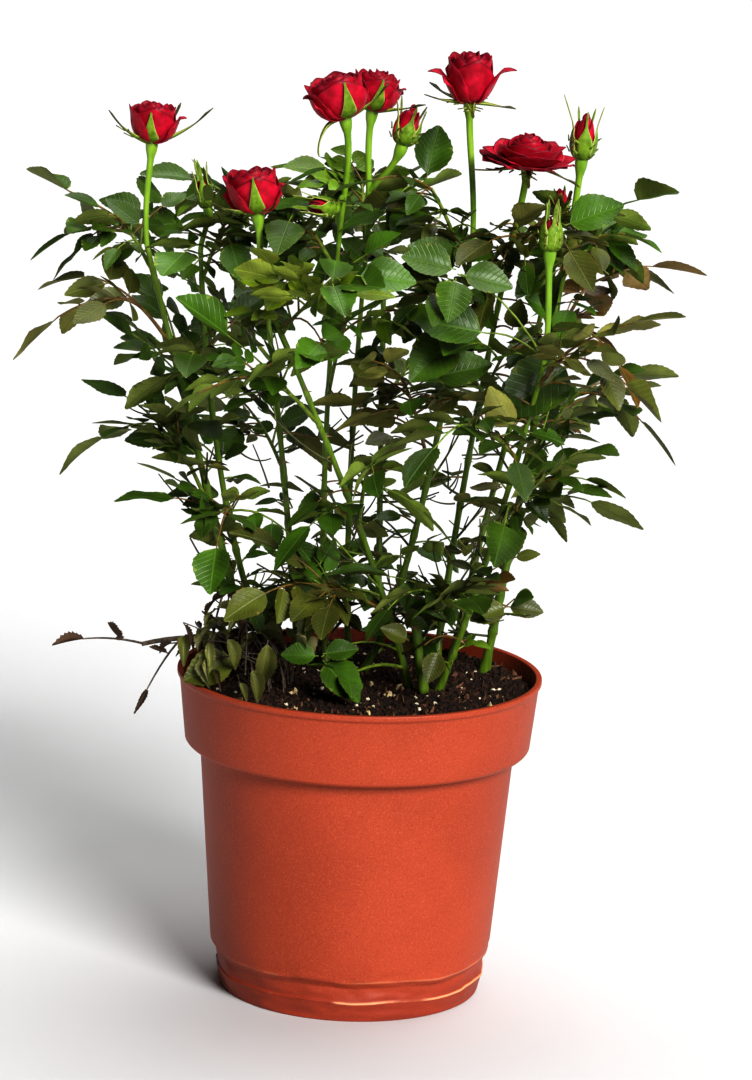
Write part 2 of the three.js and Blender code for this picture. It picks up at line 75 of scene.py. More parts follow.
class Draws:
    # the same seed always draws the same numbers from 0 to 1
    def __init__(self, seed):
        self.state = seed & 0xFFFFFFFF
        for _ in range(4):
            self.next()

    def next(self):
        self.state = (self.state * 1664525 + 1013904223) & 0xFFFFFFFF
        return self.state / 4294967296

    def between(self, low, high):
        return mix(low, high, self.next())


class Bezier:
    # a curve led by its handles, with the first and the last of them on it
    def __init__(self, *handles):
        self.handles = [Vector(h) for h in handles]

    def point(self, t):
        row = self.handles
        while len(row) > 1:
            row = [a.lerp(b, t) for a, b in zip(row, row[1:])]
        return row[0].copy()

    def tangent(self, t):
        steps = [b - a for a, b in zip(self.handles, self.handles[1:])]
        return Bezier(*steps).point(t).normalized()


def makeObject(name, mesh):
    piece = bpy.data.objects.new(name, mesh)
    bpy.context.scene.collection.objects.link(piece)
    return piece


def meshOf(name, points, faces=(), edges=()):
    # a smooth mesh from points in millimetres
    mesh = bpy.data.meshes.new(name)
    mesh.from_pydata([Vector(p) * mm for p in points], edges, faces, shade_flat=False)
    return mesh


def setLayer(mesh, name, kind, domain, values, field="value"):
    layer = mesh.attributes.new(name, kind, domain)
    layer.data.foreach_set(field, np.asarray(values).ravel())


def setUvs(mesh, uvs):
    corners = [uvs[loop.vertex_index] for loop in mesh.loops]
    mesh.uv_layers.new(name="UVMap").data.foreach_set("uv", np.array(corners).ravel())


def setPlain(piece):
    # the modifiers' result becomes the object's own mesh
    graph = bpy.context.evaluated_depsgraph_get()
    mesh = bpy.data.meshes.new_from_object(piece.evaluated_get(graph))
    piece.modifiers.clear()
    piece.data = mesh
    return piece


def settle(piece, slotName, *replaced):
    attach(piece, "root")
    if replaced:
        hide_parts(*replaced)
    print(f"{piece.name}: {len(piece.data.polygons)} faces")


# Geometry Nodes: what repeats, and what follows a path
def newTree(name, *inputs):
    tree = bpy.data.node_groups.new(name, "GeometryNodeTree")
    face = tree.interface
    face.new_socket("Geometry", in_out="INPUT", socket_type="NodeSocketGeometry")
    for label, kind in inputs:
        face.new_socket(label, in_out="INPUT", socket_type=f"NodeSocket{kind}")
    face.new_socket("Geometry", in_out="OUTPUT", socket_type="NodeSocketGeometry")
    return tree


def addNode(tree, kind, inputs=None, **settings):
    # a node with its settings, and each of its inputs linked or given a value
    node = tree.nodes.new(kind)
    for key, value in settings.items():
        setattr(node, key, value)
    for key, value in (inputs or {}).items():
        if isinstance(value, bpy.types.NodeSocket):
            tree.links.new(value, node.inputs[key])
        else:
            node.inputs[key].default_value = value
    return node


def runTree(piece, tree, values):
    modifier = piece.modifiers.new(tree.name, "NODES")
    modifier.node_group = tree
    for item in tree.interface.items_tree:
        if item.in_out == "INPUT" and item.name in values:
            modifier[item.identifier] = values[item.name]
    return setPlain(piece)


def outOf(tree, kind, inputs=None, **settings):
    return addNode(tree, kind, inputs, **settings).outputs[0]


def namedValue(tree, name, kind="FLOAT"):
    return outOf(tree, "GeometryNodeInputNamedAttribute", {"Name": name}, data_type=kind)


def shapesOf(tree, group):
    return outOf(tree, "GeometryNodeCollectionInfo", {"Collection": group, "Separate Children": True})


def closeTree(tree, geometry, *coats):
    # every tree ends in real geometry with its materials set
    last = outOf(tree, "GeometryNodeRealizeInstances", {"Geometry": geometry})
    for coat in coats:
        last = outOf(tree, "GeometryNodeSetMaterial", {"Geometry": last, **coat})
    addNode(tree, "NodeGroupOutput", {"Geometry": last})
    return tree


def makeTubeTree():
    # a round tube along each line of points, as thick as their "thickness" says
    tree = newTree("tubes", ("Sides", "Int"), ("Material", "Material"))
    given = addNode(tree, "NodeGroupInput").outputs
    line = outOf(tree, "GeometryNodeMeshToCurve", {"Mesh": given["Geometry"]})
    ring = outOf(tree, "GeometryNodeCurvePrimitiveCircle", {"Resolution": given["Sides"], "Radius": 1.0})
    tube = outOf(tree, "GeometryNodeCurveToMesh", {
        "Curve": line, "Profile Curve": ring, "Scale": namedValue(tree, "thickness"), "Fill Caps": True,
    })
    soft = outOf(tree, "GeometryNodeSetShadeSmooth", {"Geometry": tube})
    return closeTree(tree, soft, {"Material": given["Material"]})


def makePlaceTree():
    # one shape of a set on each point, picked, turned and sized by the point's own values
    tree = newTree(
        "placed shapes", ("Shapes", "Collection"), ("Material", "Material"), ("Underside", "Material")
    )
    given = addNode(tree, "NodeGroupInput").outputs
    placed = outOf(tree, "GeometryNodeInstanceOnPoints", {
        "Points": given["Geometry"],
        "Instance": shapesOf(tree, given["Shapes"]),
        "Pick Instance": True,
        "Instance Index": namedValue(tree, "variant", "INT"),
        "Rotation": namedValue(tree, "turn", "QUATERNION"),
        "Scale": namedValue(tree, "size", "FLOAT_VECTOR"),
    })
    under = {"Selection": namedValue(tree, "under", "BOOLEAN"), "Material": given["Underside"]}
    return closeTree(tree, placed, {"Material": given["Material"]}, under)


def makeScatterTree():
    # shapes strewn over a surface, each turned and sized at random from the seed
    tree = newTree(
        "strewn shapes",
        ("Shapes", "Collection"), ("Density", "Float"), ("Smallest", "Float"), ("Largest", "Float"),
        ("Seed", "Int"), ("Material", "Material"),
    )
    given = addNode(tree, "NodeGroupInput").outputs
    spots = outOf(tree, "GeometryNodeDistributePointsOnFaces", {
        "Mesh": given["Geometry"], "Density": given["Density"], "Seed": given["Seed"],
    })
    wholeTurn = (2 * math.pi,) * 3
    spin = outOf(
        tree, "FunctionNodeRandomValue", {"Max": wholeTurn, "Seed": given["Seed"]}, data_type="FLOAT_VECTOR"
    )
    size = addNode(tree, "FunctionNodeRandomValue", {
        2: given["Smallest"], 3: given["Largest"], "Seed": given["Seed"],
    }, data_type="FLOAT").outputs[1]
    placed = outOf(tree, "GeometryNodeInstanceOnPoints", {
        "Points": spots,
        "Instance": shapesOf(tree, given["Shapes"]),
        "Pick Instance": True,
        "Rotation": outOf(tree, "FunctionNodeEulerToRotation", {"Euler": spin}),
        "Scale": size,
    })
    return closeTree(tree, placed, {"Material": given["Material"]})


tubeTree = makeTubeTree()
placeTree = makePlaceTree()
scatterTree = makeScatterTree()


def shapeSet(name, meshes):
    # the shapes that a tree picks from, in the order of their names
    group = bpy.data.collections.new(name)
    for i, mesh in enumerate(meshes):
        group.objects.link(bpy.data.objects.new(f"{name}{i:02d}", mesh))
    return group


class Tubes:
    # lines of points, in millimetres, that become round tubes
    def __init__(self):
        self.points, self.edges, self.radii = [], [], []

    def add(self, points, radii):
        start = len(self.points)
        self.points += points
        self.radii += [r * mm for r in radii]
        self.edges += [(start + i, start + i + 1) for i in range(len(points) - 1)]

    def build(self, name, sides, material):
        mesh = meshOf(name, self.points, edges=self.edges)
        setLayer(mesh, "thickness", "FLOAT", "POINT", self.radii)
        return runTree(makeObject(name, mesh), tubeTree, {"Sides": sides, "Material": material})


class Placed:
    # points that each carry a shape: where it points, where it faces, its size and its variant
    def __init__(self):
        self.points, self.turns, self.sizes, self.variants = [], [], [], []

    def add(self, point, along, face, size, variant=0):
        side = face.cross(along).normalized()
        axes = Matrix((along, side, along.cross(side))).transposed()
        self.points.append(point)
        self.turns.append(tuple(axes.to_quaternion()))
        self.sizes.append((size * mm,) * 3)
        self.variants.append(variant)

    def build(self, name, shapes, material, underside=None):
        mesh = meshOf(name, self.points)
        setLayer(mesh, "turn", "QUATERNION", "POINT", self.turns)
        setLayer(mesh, "size", "FLOAT_VECTOR", "POINT", self.sizes, "vector")
        setLayer(mesh, "variant", "INT", "POINT", self.variants)
        values = {"Shapes": shapes, "Material": material, "Underside": underside or material}
        return runTree(makeObject(name, mesh), placeTree, values)


# Materials
class Shading:
    # a material's nodes, on Object coordinates or on the piece's own UV map
    def __init__(self, name, roughness, specular=0.5, sheen=0.0, sheenTint=(1, 1, 1)):
        self.material = bpy.data.materials.new(name)
        self.material.use_nodes = True
        self.tree = self.material.node_tree
        self.shader = self.tree.nodes["Principled BSDF"]
        constants = {
            "Roughness": roughness, "Specular IOR Level": specular,
            "Sheen Weight": sheen, "Sheen Tint": (*sheenTint, 1),
        }
        for key, value in constants.items():
            self.shader.inputs[key].default_value = value
        self.object = addNode(self.tree, "ShaderNodeTexCoord").outputs["Object"]

    def split(self, source):
        return addNode(self.tree, "ShaderNodeSeparateXYZ", {"Vector": source}).outputs

    def uv(self):
        return self.split(outOf(self.tree, "ShaderNodeUVMap", uv_map="UVMap"))

    def attribute(self, name):
        return addNode(self.tree, "ShaderNodeAttribute", attribute_name=name).outputs["Fac"]

    def noise(self, scale, detail=3.0, stretch=(1, 1, 1)):
        place = outOf(self.tree, "ShaderNodeMapping", {"Vector": self.object, "Scale": stretch})
        return outOf(self.tree, "ShaderNodeTexNoise", {"Vector": place, "Scale": scale, "Detail": detail})

    def sum(self, kind, *values):
        return outOf(self.tree, "ShaderNodeMath", dict(enumerate(values)), operation=kind)

    def span(self, value, low, high, bottom=0.0, top=1.0):
        # what a value does from low to high, smoothed, as bottom to top
        return outOf(self.tree, "ShaderNodeMapRange", {
            "Value": value, "From Min": low, "From Max": high, "To Min": bottom, "To Max": top,
        }, interpolation_type="SMOOTHSTEP")

    def blend(self, share, a, b):
        a, b = (v if isinstance(v, bpy.types.NodeSocket) else (*v, 1) for v in (a, b))
        return addNode(self.tree, "ShaderNodeMix", {0: share, 6: a, 7: b}, data_type="RGBA").outputs[2]

    def finish(self, colour, height=None, strength=0.3, depth=0.0003):
        self.tree.links.new(colour, self.shader.inputs["Base Color"])
        if height is not None:
            bump = outOf(
                self.tree, "ShaderNodeBump", {"Height": height, "Strength": strength, "Distance": depth}
            )
            self.tree.links.new(bump, self.shader.inputs["Normal"])
        return self.material


leafSkin = {
    "midrib": (0.02, 0.07),  # from the middle of the leaf, as a share of its half width
    "sideVeins": 9.0, "slant": 0.3, "sideVein": (0.14, 0.45),
    "patches": 48.0, "mottle": 190.0, "grain": 900.0,
    "shades": (0.66, 1.3, 0.5),  # of the leaf's colour: the dark and the light patches, the mottling
    "margin": (0.84, 0.5), "bump": (0.6, 0.0003),
}


def leafMaterial(name, colour, veinColour, edgeColour, roughness, veins=0.45, specular=0.36):
    # UV: x runs from the leaf's base to its tip, y across it with the midrib at one half
    s = Shading(name, roughness, specular)
    dark, light, deep = ([c * shade for c in colour] for shade in leafSkin["shades"])
    x, y = s.uv()[:2]
    off = s.sum("MULTIPLY", s.sum("ABSOLUTE", s.sum("SUBTRACT", y, 0.5)), 2.0)
    midrib = s.span(off, *leafSkin["midrib"], 1.0, 0.0)
    ahead = s.sum("SUBTRACT", x, s.sum("MULTIPLY", off, leafSkin["slant"]))
    slant = s.sum("MULTIPLY", ahead, leafSkin["sideVeins"])
    veinWidth, veinShare = leafSkin["sideVein"]
    sideVein = s.span(s.sum("PINGPONG", slant, 0.5), 0.0, veinWidth, veinShare, 0.0)
    vein = s.sum("MAXIMUM", midrib, sideVein)
    uneven = s.blend(s.span(s.noise(leafSkin["patches"], 1.0), 0.36, 0.64), dark, light)
    mottled = s.blend(s.span(s.noise(leafSkin["mottle"]), 0.4, 0.7, 0.0, 0.35), uneven, deep)
    fine = s.blend(s.span(s.noise(leafSkin["grain"], 2.0), 0.45, 0.8, 0.0, 0.35), mottled, edgeColour)
    inner, most = leafSkin["margin"]
    margin = s.blend(s.span(off, inner, 1.0, 0.0, most), fine, edgeColour)
    veined = s.blend(s.sum("MULTIPLY", vein, veins), margin, veinColour)
    relief = s.sum("SUBTRACT", s.sum("MULTIPLY", s.noise(leafSkin["grain"]), 0.6), vein)
    return s.finish(veined, relief, *leafSkin["bump"])


def plainMaterial(
    name, dark, light, grain, roughness, strength=0.3, depth=0.0003, stretch=(1, 1, 1), specular=0.5
):
    # two tones that run into each other with the grain of the noise
    s = Shading(name, roughness, specular)
    pattern = s.noise(grain, 4.0, stretch)
    return s.finish(s.blend(s.span(pattern, 0.3, 0.7), dark, light), pattern, strength, depth)


# The tables of growth
clear = 0.3
soilTop = 146.5
cane = {"sides": 14, "taper": 0.62, "flare": 0.45, "flareLength": 0.07}
twig = {"radius": 0.85, "base": 1.3, "arch": 0.12}
rachis = {"length": 35, "first": 0.38}
leafletLength = 28.5
shingle = 20

# What a leaf's own draws change: shares of its span, size and leaflets, then turns in degrees. A leaflet
# at the end is longer than the pairs, which grow towards it.
vary = {
    "span": (0.72, 1), "size": (0.82, 1.12), "leaflet": (0.88, 1.12),
    "roll": (-40, 40), "level": (-8, 8), "splay": (52, 70), "pitch": (-12, 8),
}
leafletShare = {"end": 1.08, "pairs": (0.78, 0.95)}

# Where leaves leave a spray's stem, and how far they turn from it. A short stem has small leaves.
layout = {
    "from": (0.3, 0.9), "last": 0.98, "ahead": (-10, 10), "aside": (38, 68), "short": 18, "small": 0.65,
    "onward": 0.4,
}

habits = {
    "leaves": {"rise": (5, 50), "bend": (0.15, 0.6), "span": 1, "size": 1, "pairs": 2},
    "young": {"rise": (20, 60), "bend": (0.1, 0.4), "span": 0.9, "size": 0.85, "pairs": 2},
    "low": {"rise": (-5, 5), "bend": (0.1, 0.2), "span": 0.8, "size": 1, "pairs": 1},
    "wilted": {"rise": (-50, -20), "bend": (0.3, 0.8), "span": 0.9, "size": 0.85, "pairs": 2},
    "withered": {"rise": (-25, 20), "bend": (-0.2, 0.4), "span": 0.8, "size": 0.6, "pairs": 1},
}

# Every cane: where it stands, a point it bends through, its tip and its thickness.
# A spray is (share of the cane it grows from, the x, y, z its stem grows to, leaves, habit).
canes = [
    {
        "name": "left_outer", "foot": (-50, 14), "knee": (-76, 9, 240), "tip": (-105, 12, 345), "girth": 4.6,
        "sprays": [
            (0.07, -102, 0, 160, 3, "withered"), (0.2, -64, -14, 190, 3, "wilted"), (0.42, -94, 0, 264, 3),
            (0.64, -92, 40, 296, 3), (0.8, -112, 4, 322, 3), (0.95, -118, 26, 354, 3),
        ],
    },
    {
        "name": "left_inner", "foot": (-40, 24), "knee": (-66, 17, 228), "tip": (-80, 2, 345), "girth": 4,
        "sprays": [(0.42, -62, -14, 230, 3), (0.72, -78, -34, 300, 3), (0.95, -68, -10, 362, 3)],
    },
    {
        "name": "front_diagonal", "foot": (23, -7), "knee": (-3, -22, 225), "tip": (-47, -46, 330),
        "girth": 4,
        "sprays": [
            (0.07, 0, -34, 160, 1, "low"), (0.25, -22, -36, 200, 3), (0.5, 0, -56, 258, 3),
            (0.75, -50, -70, 302, 3), (0.94, -28, -68, 334, 3, "young"),
        ],
    },
    {
        "name": "front_right", "foot": (37, -12), "knee": (57, -32, 218), "tip": (77, -60, 312), "girth": 4,
        "sprays": [
            (0.3, 32, -46, 200, 3), (0.55, 72, -46, 248, 3), (0.76, 46, -74, 284, 3), (0.94, 88, -66, 318, 3),
        ],
    },
    {
        "name": "right", "foot": (59, 29), "knee": (71, 21, 228), "tip": (87, 10, 345), "girth": 5,
        "sprays": [(0.6, 96, 6, 286, 3), (0.82, 98, 18, 334, 3), (0.97, 98, 0, 362, 3)],
    },
    {
        "name": "middle", "foot": (2, 20), "knee": (24, 18, 218), "tip": (44, 6, 352), "girth": 4.2,
        "sprays": [(0.62, 14, -30, 296, 4), (0.84, 36, -36, 340, 4), (0.96, 24, -10, 380, 3)],
    },
    {
        "name": "centre_left", "foot": (-16, 25), "knee": (-20, 26, 235), "tip": (-17, 0, 352), "girth": 3.8,
        "sprays": [(0.7, -10, -38, 328, 3), (0.95, -42, -14, 372, 3)],
    },
    {
        "name": "centre", "foot": (-6, 42), "knee": (-8, 42, 240), "tip": (-4, 20, 355), "girth": 3.8,
        "sprays": [(0.95, -8, 42, 376, 3)],
    },
    {
        "name": "back_right", "foot": (36, 38), "knee": (45, 44, 228), "tip": (60, 0, 345), "girth": 4.2,
        "sprays": [(0.68, 62, -24, 310, 4), (0.95, 70, -20, 366, 4)],
    },
    {
        "name": "back_left", "foot": (-30, 42), "knee": (-40, 52, 235), "tip": (-55, 66, 340), "girth": 4,
        "sprays": [(0.5, -56, 78, 256, 3), (0.75, -74, 76, 306, 3), (1, -66, 80, 362, 3)],
    },
    {
        "name": "far_back", "foot": (8, 56), "knee": (6, 78, 232), "tip": (4, 100, 325), "girth": 4,
        "sprays": [(0.66, 22, 108, 282, 3), (1, -6, 106, 350, 3)],
    },
    {
        "name": "far_right", "foot": (44, 54), "knee": (62, 72, 232), "tip": (84, 88, 325), "girth": 4,
        "sprays": [(0.6, 90, 84, 262, 3), (1, 88, 92, 352, 3)],
    },
]
# A cane pruned short. Its cut face is a disc, from below its top to above it, of these shares of its girth.
stub = {
    "foot": (30, -17), "top": (25, -16, 177), "girth": 4.8, "taper": (1.1, 0.85), "steps": 14, "seed": 40,
    "disc": (0.44, 0.41), "below": 0.6, "above": 0.25, "discSides": 14,
}

# A flower shoot goes on from the tip of its cane. A head has the place of its calyx, the way it faces
# (turn, rise), its width and height, and how far it is open. An open head has its spread across and the
# turns of its folded petals, and may have longer sepals or one that hangs. A bud has the share of its
# height that its sepals wrap.
shoots = [
    {"cane": "left_outer", "heads": [
        {
            "base": (-104, 10, 393), "faces": (0, 88), "width": 24, "height": 20, "open": 0.5,
            "spread": 33, "folded": (95,), "sepals": 1.35,
        },
    ]},
    {"cane": "left_inner", "heads": [
        {"base": (-77, -4, 366), "faces": (160, 74), "width": 7, "height": 14, "open": 0, "wrapped": 1},
    ]},
    {"cane": "front_diagonal", "heads": [
        {
            "base": (-53, -50, 371), "faces": (190, 80), "width": 26, "height": 22, "open": 0.4,
            "spread": 31, "folded": (100, 215),
        },
    ]},
    {"cane": "front_right", "heads": [
        {"base": (77, -64, 361), "faces": (0, 88), "width": 10, "height": 16, "open": 0, "wrapped": 0.97},
    ]},
    {"cane": "right", "heads": [
        {"base": (92, 5, 393), "faces": (0, 86), "width": 14, "height": 22, "open": 0.1, "wrapped": 0.82},
        {"base": (84, -6, 372), "faces": (250, 60), "width": 8, "height": 12, "open": 0, "wrapped": 0.6},
    ]},
    {"cane": "middle", "heads": [
        {
            "base": (40, 0, 418), "faces": (270, 84), "width": 23, "height": 25, "open": 0.75,
            "spread": 43, "folded": (-84, 88, 190),
        },
    ]},
    {"cane": "centre_left", "heads": [
        {
            "base": (-16, -18, 411), "faces": (195, 74), "width": 29, "height": 22, "open": 0.45,
            "spread": 34, "folded": (-75,), "hanging": 4,
        },
        {"base": (-20, -30, 372), "faces": (230, 10), "width": 9, "height": 16, "open": 0, "wrapped": 0.92},
    ]},
    {"cane": "centre", "heads": [
        {
            "base": (-4, 15, 411), "faces": (0, 80), "width": 23, "height": 20, "open": 0.4,
            "spread": 27, "folded": (80,),
        },
        {"base": (10, 8, 396), "faces": (20, 74), "width": 14, "height": 20, "open": 0.15, "wrapped": 0.75},
    ]},
    {"cane": "back_right", "heads": [
        {
            "base": (67, -14, 392), "faces": (300, 84), "width": 29, "height": 17, "open": 0.95,
            "spread": 45, "folded": (0, 48, 97, 150, 200, 253, 305),
        },
    ]},
]


def caneNamed(name):
    return next(c for c in canes if c["name"] == name)


def caneCurve(c):
    foot = Vector((*c["foot"], soilTop + clear))
    tip = Vector(c["tip"])
    return Bezier(foot, Vector(c["knee"]) * 2 - (foot + tip) / 2, tip)


def caneRadius(c, t):
    flare = cane["flare"] * max(0, 1 - t / cane["flareLength"])
    return c["girth"] / 2 * (mix(1, cane["taper"], t) + flare)


# Leaves: where they grow
finer = {
    "reach": 13.0,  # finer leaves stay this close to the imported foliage,
    "caneReach": 18.0,  # or this close to a cane,
    "lowest": 154.0,  # and above the pot's rim
    "leafRoom": 1.8,
    "caneRoom": 2.6,
    "cell": 5.0,
    "sizes": (0.42, 0.8),  # of a full leaf
    "perSpray": 15,
    "perCane": 22,
    "open": 0.34,  # share of the finer leaves that grow in the middle of the crown
    "upper": (320, 365),  # between these heights the crown closes
    "low": 0.7,  # the same share near the pot
    "lower": (235, 205),  # where the plant closes again towards the pot
    "from": 0.04,  # share of a cane from which leaves grow straight off it
    "along": (0.15, 1),  # and of a spray's stem
    "aside": (10, 120),  # degrees from the spray's own way
    "swing": (-15, 15),  # degrees to and fro round a cane
    "sameTint": 0.5,  # share that takes the tint of its spray
    "fewest": 2,  # leaflets that a finer leaf is kept for
    "stalk": 0.85,  # thickness of its stalk
}

# No finer leaves hang out in front of this share of the cane that crosses the plant.
frontGap = {
    "cane": "front_diagonal", "share": (0.05, 0.85), "room": 6.5,
    "faces": (-90, 12),  # turn and rise
    "deep": (10, 48, 5),  # from, to and step, in millimetres
}
packed = {
    "middle": 0.44, "near": 0.9,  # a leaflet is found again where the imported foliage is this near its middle,
    "length": 0.8,  # and drawn at this share of its length
}
# The seeds of the draws. A rule that runs for each cane has its first seed, then what each cane adds, and
# each spray. Those of the sprays start from nothing, and count canes and sprays from one.
seeds = {
    "spray": (977, 131), "finer": (7919, 613, 37), "alongCane": (4001, 97), "bareShoots": (6007, 89),
    "litter": 61, "leaflets": 5, "twigs": 77, "prickles": 303,
}
masses = {name: node for name, node in nodes.items() if name.startswith("foliage_")}


def surfaceOf(objects):
    points, faces = [], []
    for o in objects:
        start = len(points)
        points += [v.co / mm for v in o.data.vertices]
        faces += [[start + i for i in p.vertices] for p in o.data.polygons]
    return BVHTree.FromPolygons(points, faces)


massSurface = {name: surfaceOf([node]) for name, node in masses.items()}
crownSurface = surfaceOf(masses.values())
caneSurface = surfaceOf([node for name, node in nodes.items() if name.startswith("cane_")])


def isNear(surface, point, distance):
    return surface.find_nearest(point, distance)[0] is not None


class Crowd:
    # sample points of every blade and limb so far, by cell, with the room that each takes
    def __init__(self):
        self.cells = {}

    def cellOf(self, p):
        return tuple(math.floor(v / finer["cell"]) for v in p)

    def block(self, points, room):
        for p in points:
            self.cells.setdefault(self.cellOf(p), []).append((p, room))

    def isFree(self, points):
        for p in points:
            cx, cy, cz = self.cellOf(p)
            for i in (cx - 1, cx, cx + 1):
                for j in (cy - 1, cy, cy + 1):
                    for k in (cz - 1, cz, cz + 1):
                        for other, room in self.cells.get((i, j, k), ()):
                            if (p - other).length < room:
                                return False
        return True


crowd = Crowd()
# where a blade is sampled: shares of its length, and of its half width to each side
bladeSpots = ((0.2, 0), (0.45, -0.6), (0.45, 0), (0.45, 0.6), (0.75, -0.4), (0.75, 0.4), (0.95, 0))
bladeHalf = 0.33


def bladePoints(leaflet):
    root, along, face, length = (leaflet[key] for key in ("root", "along", "face", "length"))
    side = face.cross(along)
    half = length * bladeHalf
    return [root + along * (length * x) + side * (half * y) for x, y in bladeSpots]


def layOutLeaf(start, turn, habit, scale, draw):
    # a compound leaf: its arching stalk, and its leaflets in pairs with one at the tip
    rise = draw.between(*habit["rise"])
    span = rachis["length"] * habit["span"] * scale * draw.between(*vary["span"])
    size = leafletLength * habit["size"] * draw.between(*vary["size"])
    bend = draw.between(*habit["bend"])
    roll = draw.between(*vary["roll"])
    pairs = 1 if scale < 1 else habit["pairs"]
    out = heading(turn, 0)
    slope = math.tan(math.radians(rise))

    def spine(t):
        return start + out * (span * t) + up * (span * (slope * t - bend * t * t))

    leaflets = []
    for p in range(pairs + 1):
        t = mix(rachis["first"], 1, p / pairs)
        tangent = (out + up * (slope - 2 * bend * t)).normalized()
        level = (up - tangent * tangent.z).normalized()
        level = turned(level, tangent, roll + draw.between(*vary["level"]))
        for s in (0,) if p == pairs else (-1, 1):
            along = turned(tangent, level, s * draw.between(*vary["splay"]))
            across = along.cross(level).normalized()
            along = turned(along, across, draw.between(*vary["pitch"]))
            face = turned(across.cross(along).normalized(), along, -s * shingle)
            share = leafletShare["end"] if s == 0 else mix(*leafletShare["pairs"], p / pairs)
            length = size * share * draw.between(*vary["leaflet"])
            leaflets.append({"root": spine(t), "along": along, "face": face, "length": length, "t": t})
    return spine, leaflets


# each leaf with its stalk's spine and thickness, how far along it leaflets grew, the leaflets and its tint
leaves = []
stems = []  # each with its curve, the point inside its cane where it begins, and its tint


def keepLeaf(spine, leaflets, tint, thick=1.0):
    for leaflet in leaflets:
        crowd.block(bladePoints(leaflet), finer["leafRoom"])
    reached = max(leaflet["t"] for leaflet in leaflets)
    leaves.append({"spine": spine, "reached": reached, "leaflets": leaflets, "tint": tint, "thick": thick})


def sprayStem(c, at, end):
    # a spray's stem from where it clears its cane, which way it goes, and how far
    curve = caneCurve(c)
    away = (end - curve.point(at)).normalized()
    if at == 1:
        onward = curve.tangent(1)
        start = curve.point(1) + onward * clear
        length = (end - start).length
        return Bezier(start, start + onward * (length * layout["onward"]), end), away, length
    axis = curve.tangent(at)
    across = (away - axis * away.dot(axis)).normalized()
    lean = away.dot(across)
    sideways = math.sqrt(1 - lean * lean)
    out = (caneRadius(c, at) + clear + twig["radius"] * twig["base"] * sideways) / lean
    start = curve.point(at) + away * out
    length = (end - start).length
    return Bezier(start, (start + end) / 2 + up * (length * twig["arch"]), end), away, length


# how often each green comes up, spray by spray
tintShares = (("dark", 0.5), ("deep", 0.23), ("olive", 0.14), ("fresh", 0.09), ("bronze", 0.04))
# where a tint comes up more often: the middle of the place, its reach, the tint and its share there
tintPlaces = (
    ((-50, -70, 302), 6, "deep", 1),
    ((-42, -50, 326), 28, "young", 0.45),
    ((-42, -50, 326), 40, "fresh", 0.4),
    ((66, 0, 392), 28, "bronze", 0.4),
    ((-85, 10, 385), 30, "bronze", 0.25),
    ((60, -30, 345), 40, "olive", 0.2),
    ((-68, -10, 362), 6, "deep", 1),
)
lowCrown = 225  # no fresh leaves below this height
lowTints = ("dark", "olive", "deep")
youngHeart = {"x": -46, "reach": 16}  # the young spray's leaves that end further aside are older


def pickTint(draw, place):
    for middle, reach, tint, share in tintPlaces:
        if (Vector(middle) - place).length < reach and draw.next() < share:
            return tint
    left = draw.next()
    for tint, share in tintShares:
        left -= share
        if left < 0:
            return tint
    return "dark"


def habitOf(spray):
    return spray[5] if len(spray) > 5 else "leaves"


def growSpray(c, index, spray):
    at, x, y, z, count = spray[:5]
    habitName = habitOf(spray)
    perCane, perSpray = seeds["spray"]
    draw = Draws(perCane * (canes.index(c) + 1) + perSpray * (index + 1))
    first, perCane, perSpray = seeds["finer"]
    own = Draws(first + perCane * canes.index(c) + perSpray * index)
    stem, away, length = sprayStem(c, at, Vector((x, y, z)))
    surface = massSurface[f"foliage_{c['name']}_{index + 1}"]
    tint = habitName
    if habitName == "leaves":
        tint = pickTint(own, stem.point(1)) if z > lowCrown else lowTints[index % 3]
    elif habitName == "low":
        tint = "deep"
    turn = math.degrees(math.atan2(away.y, away.x))
    for i in range(count):
        isLast = i == count - 1
        side = 1 if i % 2 else -1
        aside = draw.between(*layout["ahead"]) if isLast else side * draw.between(*layout["aside"])
        start = stem.point(layout["last"] if isLast else mix(*layout["from"], i / (count - 1)))
        scale = layout["small"] if length < layout["short"] else 1
        spine, leaflets = layOutLeaf(start, turn + aside, habits[habitName], scale, draw)
        grown = []
        for l in leaflets:
            middle = l["root"] + l["along"] * (packed["middle"] * l["length"])
            if isNear(surface, middle, packed["near"]):
                grown.append({**l, "share": packed["length"]})
        if grown:
            isOlder = habitName == "young" and abs(spine(1).x - youngHeart["x"]) > youngHeart["reach"]
            keepLeaf(spine, grown, "deep" if isOlder else tint)
    stems.append({"curve": stem, "inside": caneCurve(c).point(at), "tint": tint})
    return stem, turn, habitName, own, tint


def isWithin(p):
    if p.z < finer["lowest"]:
        return False
    return isNear(crownSurface, p, finer["reach"]) or isNear(caneSurface, p, finer["caneReach"])


def tryLeaf(spine, leaflets, tint, draw):
    # keeps the leaflets that have room and stay within reach; the crown is more open in its middle
    z = leaflets[0]["root"].z
    share = mix(finer["open"], 1, ease(*finer["upper"], z))
    if draw.next() > max(share, finer["low"] * ease(*finer["lower"], z)):
        return
    grown = []
    for leaflet in leaflets:
        spots = bladePoints(leaflet)
        if all(isWithin(p) for p in spots) and crowd.isFree(spots):
            grown.append(leaflet)
    if len(grown) >= finer["fewest"]:
        keepLeaf(spine, grown, tint, finer["stalk"])


def finerHabit(habit, draw):
    share = draw.between(*finer["sizes"])
    return {**habit, "size": habit["size"] * share, "span": habit["span"] * share}


